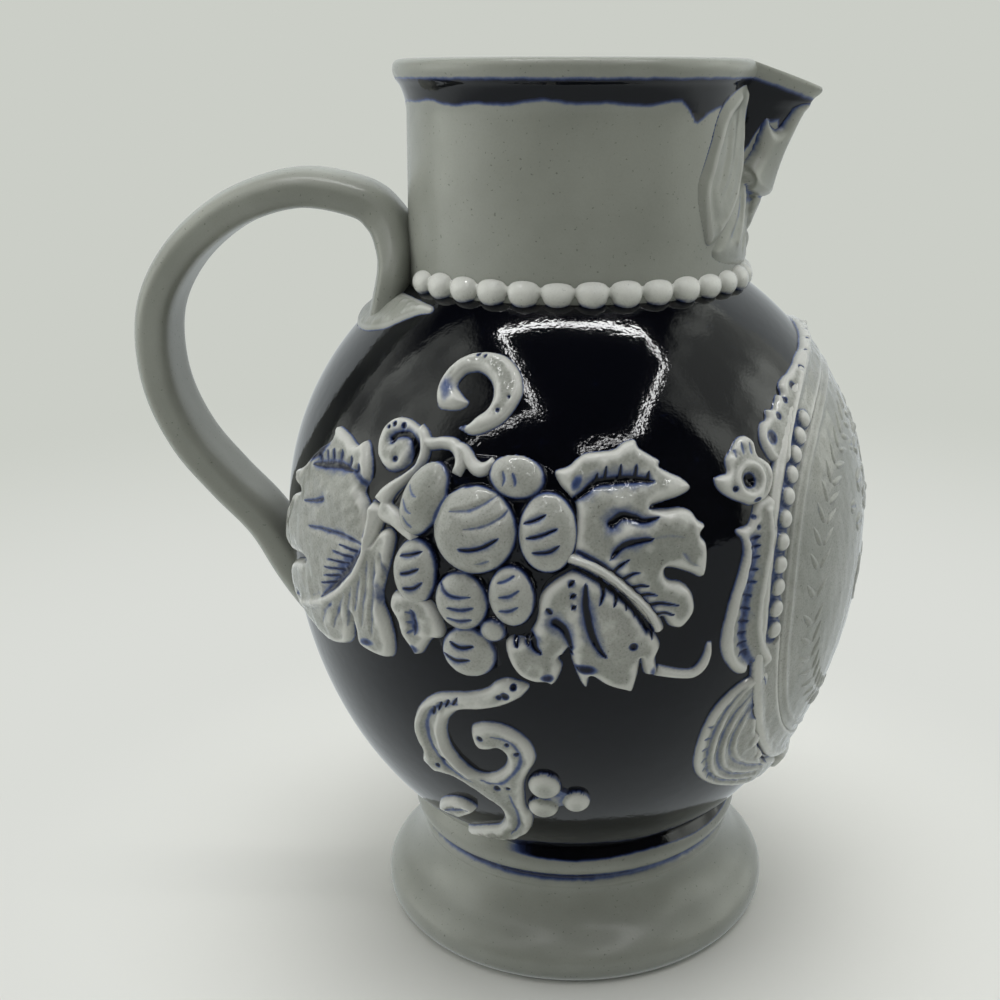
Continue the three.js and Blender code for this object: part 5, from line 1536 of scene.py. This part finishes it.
def spout_leaf():
    """Acanthus under the spout: a keel in tiers, and a lobe to each side that wraps the cheek."""
    side = [
        (7.7, 25.5), (10.5, 24.8), (12.8, 23.6), (14.6, 21.4), (15.8, 18.8), (17.2, 16), (18.1, 13.8),
        (17.9, 11.4), (17.2, 9), (16.4, 6.8), (14.6, 7.1), (12.2, 8.6), (10.4, 10), (8.9, 11.5),
        (7.6, 13.4), (6.2, 14.1), (5.2, 16.4), (5.3, 19), (5, 21), (4.9, 22.9), (6, 24.7),
    ]
    lower = [
        (12.2, 8.8), (14, 7.2), (15.4, 5.6), (13.5, 4.4), (9, 3.6), (4, 3.2), (1.6, 3.2), (1.4, 8),
        (2.6, 12), (4.8, 14.2), (7.4, 12.6), (9.6, 11),
    ]
    keel = [
        (0, 23.8), (1, 23.3), (1.3, 21.9), (1.5, 20.4), (2, 19.9), (2.7, 20.4), (3.2, 21.3), (3.6, 19.3),
        (3.9, 17.4), (4.6, 16.2), (5.9, 14.2), (5.2, 12.7), (4, 12.2), (2, 11.7), (0, 11.5),
    ]
    tiers = [closed(mirrored(half)) for half in (
        keel,
        [(0, 12.6), (2.4, 12), (3.4, 10.2), (3, 8.2), (1.6, 7), (0, 6.6)],
        [(0, 7.4), (1.7, 6.8), (2.2, 5.2), (1.5, 4), (0, 3.4)],
    )]
    # How high each tier's ridge stands out at these levels
    profiles = [
        ([11.5, 13.1, 17, 20.2, 23.8], [2.2, 2.3, 1.7, 1.2, 0.5]),
        ([6.6, 8.5, 10.5, 12.6], [0.9, 1.1, 1.4, 1.5]),
        ([3.4, 3.9, 5.9, 7.4], [0.4, 0.5, 1.0, 1.1]),
    ]
    ribs = [
        [(7.2, 24.4), (7.4, 20.6), (8, 16.6), (9.4, 13), (11.6, 10.4), (14, 8.6)],
        [(16.2, 7.4), (16.6, 10), (16.9, 13), (15.8, 16), (14.4, 19), (12.4, 22), (9.6, 24)],
    ]
    hollows = [
        [(9.2, 22.6), (10, 19), (11.4, 15), (13.6, 12)], [(12.2, 20.6), (13, 17), (14.6, 13.4)],
        [(6.6, 22.6), (6.6, 19), (7, 15.8)],
    ]
    lower_hollows = [
        [(6.4, 13), (8.4, 9.6), (11.6, 6.6)], [(3.8, 12.2), (4.8, 8.6), (7.2, 5.2)],
        [(2.6, 9), (3, 6.4), (4.2, 4.4)],
    ]
    lower_rib = [(5.6, 13.4), (7, 9.8), (9.4, 6.4)]
    lobes = [closed(flipped(lobe, turn)[::turn]) for turn in (-1, 1) for lobe in (side, lower)]
    leaf = Relief(tiers + lobes, 0.4, 1.3, 0.3, lean=0.0)
    leaf.rim[:] = 0
    leaf.pale = 0.15
    for tier, (levels, heights) in zip(tiers, profiles):
        depth = depth_inside(leaf.u, leaf.v, tier)
        full = np.interp(leaf.v, levels, heights)
        rise = full * np.sqrt(np.clip(1 - (1 - np.clip(depth / 1.4, 0, 1)) ** 2, 0, 1))
        leaf.height = np.where(depth > 0, np.maximum(leaf.height, rise), leaf.height)
        leaf.add_cobalt(0.3 * hill(depth, 0.3) * ramp(leaf.v, 14, 18))
    leaf.cobalt *= 0.35 + 0.65 * ramp(leaf.v, 14, 20)
    for turn in (-1, 1):
        for rib in ribs:
            leaf.ridge(flipped(rib, turn), 0.55, 0.2, 0.25)
        leaf.folds([flipped(hollow, turn) for hollow in hollows], 0.8, -0.22)
        leaf.folds([flipped(hollow, turn) for hollow in lower_hollows], 0.6, -0.35)
        leaf.ridge(flipped(lower_rib, turn), 0.4, 0.25, 0.3)
    leaf.stroke([(0, 22.6), (0, 18), (0, 13)], 0.35, 0.35, 0.2)
    return leaf


# Putting the pieces together

# Each function has the name of the CAD node that its relief stands for. A node that both sides have
# bears the side's name in front
SIDE_RELIEF = [
    rear_leaf, middle_leaf, front_upper_leaf, front_lower_leaf, grape_cluster, vine_tendril, top_scroll,
    hook_tendril, lower_scroll, berries, stem_leaf, frame_bar, frame_rosette, frame_beads, frame_volute,
]
FRONT_RELIEF = [medallion_panel, medallion_motif, medallion_crest, medallion_shell]

foot()
belly()
neck()
bead_collar()
handle()

handle_spread().build("handle_root_spread", belly_surface, "right", ["handle"], BODY_GLAZE, "grey_glaze")

for draw in SIDE_RELIEF:
    relief = draw()
    for side in ("right", "left"):
        node = f"{side}_{draw.__name__}"
        relief.build(f"{node}_moulded", belly_surface, side, [node])

for draw in FRONT_RELIEF:
    node = draw.__name__
    draw().build(f"{node}_moulded", belly_surface, "right", [node])

spout_leaf().build("spout_leaf_moulded", neck_surface, "right", ["spout_leaf"], BODY_GLAZE)


# Floor, backdrop, light and camera, in metres

STAGE_FRONT = -1.2
STAGE_BACK = 0.9
STAGE_TOP = 1.8
STAGE_HALF_WIDTH = 1.8
CURVE = 0.6
ROOM_TONE = colour("CBCEC7")

# Where each soft box stands, its size and its power; all face the pitcher's middle
MIDDLE = (0, 0, 0.06)
SOFT_BOXES = [
    ("softbox_top", (0.05, 0.06, 0.8), (0.9, 0.7), 3.8),
    ("softbox_back", (0.0, 0.5, 0.7), (0.9, 0.4), 1.8),
    ("softbox_left", (-0.85, -0.02, 0.18), (1.0, 0.7), 5.0),
    ("softbox_right", (0.9, 0.1, 0.45), (0.8, 0.5), 1.2),
]

# The corners of the dark opening in the tent's roof, and how wide its bright edge is from each to the next
ROOF_LEVEL = 0.7
OPENING = [
    (-0.74, -0.61), (-0.17, -0.47), (-0.26, 0.02), (0.23, 0.0), (0.35, -0.12), (0.35, -0.62), (0.04, -0.80),
]
EDGE_WIDTHS = [0.01, 0.012, 0.032, 0.016, 0.018, 0.014]
EDGE_BRIGHTNESS = 62


def backdrop():
    """A pale floor that curves up behind."""
    wall = STAGE_BACK + CURVE
    floor = [(y, 0.0) for y in np.linspace(STAGE_FRONT, STAGE_BACK, 22)]
    curve = [(STAGE_BACK + CURVE * math.sin(t), CURVE - CURVE * math.cos(t))
             for t in np.linspace(0.1, math.pi / 2, 16)]
    upright_part = [(wall, z) for z in np.linspace(CURVE + 0.1, STAGE_TOP, 8)]
    profile = floor + curve + upright_part
    xs = np.linspace(-STAGE_HALF_WIDTH, STAGE_HALF_WIDTH, 25)
    mesh = bpy.data.meshes.new("backdrop")
    mesh.from_pydata([(x, y, z) for y, z in profile for x in xs], [],
                     grid_faces(len(profile), len(xs)).tolist())
    mesh.polygons.foreach_set("use_smooth", [True] * len(mesh.polygons))
    mesh.materials.append(backdrop_paper())
    stage = bpy.data.objects.new("backdrop", mesh)
    bpy.context.scene.collection.objects.link(stage)


def backdrop_paper():
    """Paper that away from the pitcher shows the camera a pale tone darkening further off, a painted
    fall-off of light, and the glaze a tone darker in front, a painted shade.
    """
    material, tree = new_material("backdrop_paper")
    place = tree.add("ShaderNodeTexCoord").outputs["Object"]
    mottle = tree.ramp(tree.noise(place, 3, 3), 0.3, 0.7)
    paper = tree.add("ShaderNodeBsdfPrincipled", Roughness=0.8,
                     Base_Color=tree.mix(mottle, colour("D6D7D1"), colour("DCDDD7")))
    length = tree.nodes.new("ShaderNodeVectorMath")
    length.operation = "LENGTH"
    tree.feed(length.inputs[0], place)
    distance = length.outputs["Value"]
    depth = tree.add("ShaderNodeSeparateXYZ", Vector=place).outputs["Y"]
    path = tree.add("ShaderNodeLightPath").outputs
    # Painted fall-off: the camera's tone darkens from near the pitcher to far off, as lamp light would
    seen = tree.mix(tree.ramp(distance, 0.12, 0.33), colour("DADCD7"), ROOM_TONE)
    # Painted shade: the floor the glaze mirrors is darker in front of the pitcher than behind it
    reflected = tree.mix(tree.ramp(depth, -0.1, 0.03), colour("989D9F"), colour("CFD5D6"))
    even = tree.add("ShaderNodeEmission", Color=tree.mix(path["Is Glossy Ray"], seen, reflected))
    far = tree.ramp(distance, 0.02, 0.1)
    shown = tree.math("MULTIPLY_ADD", far, path["Is Camera Ray"], path["Is Glossy Ray"])
    tree.show(tree.blend(shown, paper.outputs["BSDF"], even.outputs["Emission"]))
    return material


def area_light(name, place, rotation, size, power, in_mirror):
    light = bpy.data.lights.new(name, "AREA")
    light.shape = "RECTANGLE"
    light.size, light.size_y = size
    light.energy = power
    lamp = bpy.data.objects.new(name, light)
    lamp.location = place
    lamp.rotation_euler = rotation
    lamp.visible_glossy = in_mirror
    bpy.context.scene.collection.objects.link(lamp)


def soft_boxes():
    """Soft light from above, behind and each side, which the glaze doesn't mirror."""
    for name, place, size, power in SOFT_BOXES:
        aim = (Vector(MIDDLE) - Vector(place)).to_track_quat("-Z", "Y").to_euler()
        area_light(name, place, aim, size, power, in_mirror=False)


def bright_edge():
    """Strips along the opening's edge, which the glaze mirrors as a thin outline."""
    for number, (start, end, width) in enumerate(zip(OPENING, OPENING[1:], EDGE_WIDTHS)):
        length = math.dist(start, end)
        place = ((start[0] + end[0]) / 2, (start[1] + end[1]) / 2, ROOF_LEVEL)
        turn = math.atan2(end[1] - start[1], end[0] - start[0])
        power = EDGE_BRIGHTNESS * length * width
        area_light(f"edge_{number}", place, (0, 0, turn), (length, width), power, in_mirror=True)


def mirrored_room(tree, direction, x, y, z):
    """What the glaze mirrors: dark above and in front, paler cloths behind and to the sides."""
    cloth = tree.add("ShaderNodeTexNoise", Vector=direction, Scale=2.2).outputs["Fac"]
    behind = tree.product(tree.ramp(y, -0.35, 0.65, 0.03, 0.95), tree.ramp(z, 0.72, 0.4))
    right = tree.product(tree.ramp(x, 0.44, 0.56, 0.0, 1.6), tree.ramp(y, -0.44, -0.34))
    left = tree.product(tree.ramp(x, -0.46, -0.58, 0.0, 1.35), tree.ramp(y, 0.32, 0.26),
                        tree.ramp(y, -0.5, -0.3))
    strength = tree.product(tree.total(behind, right, left), tree.ramp(cloth, 0.38, 0.62, 0.4, 1.15))
    node = tree.add("ShaderNodeBackground", Color=colour("E2E6DF"), Strength=strength)
    return node.outputs["Background"]


def room():
    """A dim room that lights the clay, one even tone for the camera and another room for the glaze."""
    world = bpy.data.worlds.new("soft_room")
    bpy.context.scene.world = world
    world.use_nodes = True
    tree = Tree(world.node_tree)
    direction = tree.add("ShaderNodeTexCoord").outputs["Generated"]
    x, y, z = tree.add("ShaderNodeSeparateXYZ", Vector=direction).outputs
    dim = tree.nodes["Background"]
    tree.feed(dim.inputs["Color"], (0.95, 0.97, 1.0, 1))
    tree.feed(dim.inputs["Strength"], tree.ramp(y, -0.9, 0.1, 0.04, 0.2))
    seen = tree.add("ShaderNodeBackground", Color=ROOM_TONE)
    path = tree.add("ShaderNodeLightPath").outputs
    reflected = mirrored_room(tree, direction, x, y, z)
    lit = tree.blend(path["Is Glossy Ray"], dim.outputs["Background"], reflected)
    shown = tree.blend(path["Is Camera Ray"], lit, seen.outputs["Background"])
    tree.feed(tree.nodes["World Output"].inputs["Surface"], shown)


def camera():
    data = bpy.data.cameras.new("camera")
    data.sensor_width = SENSOR
    data.lens = FOCAL_PIXELS / PICTURE_PIXELS * SENSOR
    data.shift_x = -AXIS_PIXELS / PICTURE_PIXELS
    data.clip_start = 0.01
    view = bpy.data.objects.new("camera", data)
    view.location = (0, -CAMERA_DISTANCE, CAMERA_LEVEL)
    view.rotation_euler = (math.radians(90 - CAMERA_PITCH), 0, 0)
    bpy.context.scene.collection.objects.link(view)
    bpy.context.scene.camera = view


backdrop()
soft_boxes()
bright_edge()
room()
camera()
bpy.context.scene.view_settings.view_transform = "Standard"
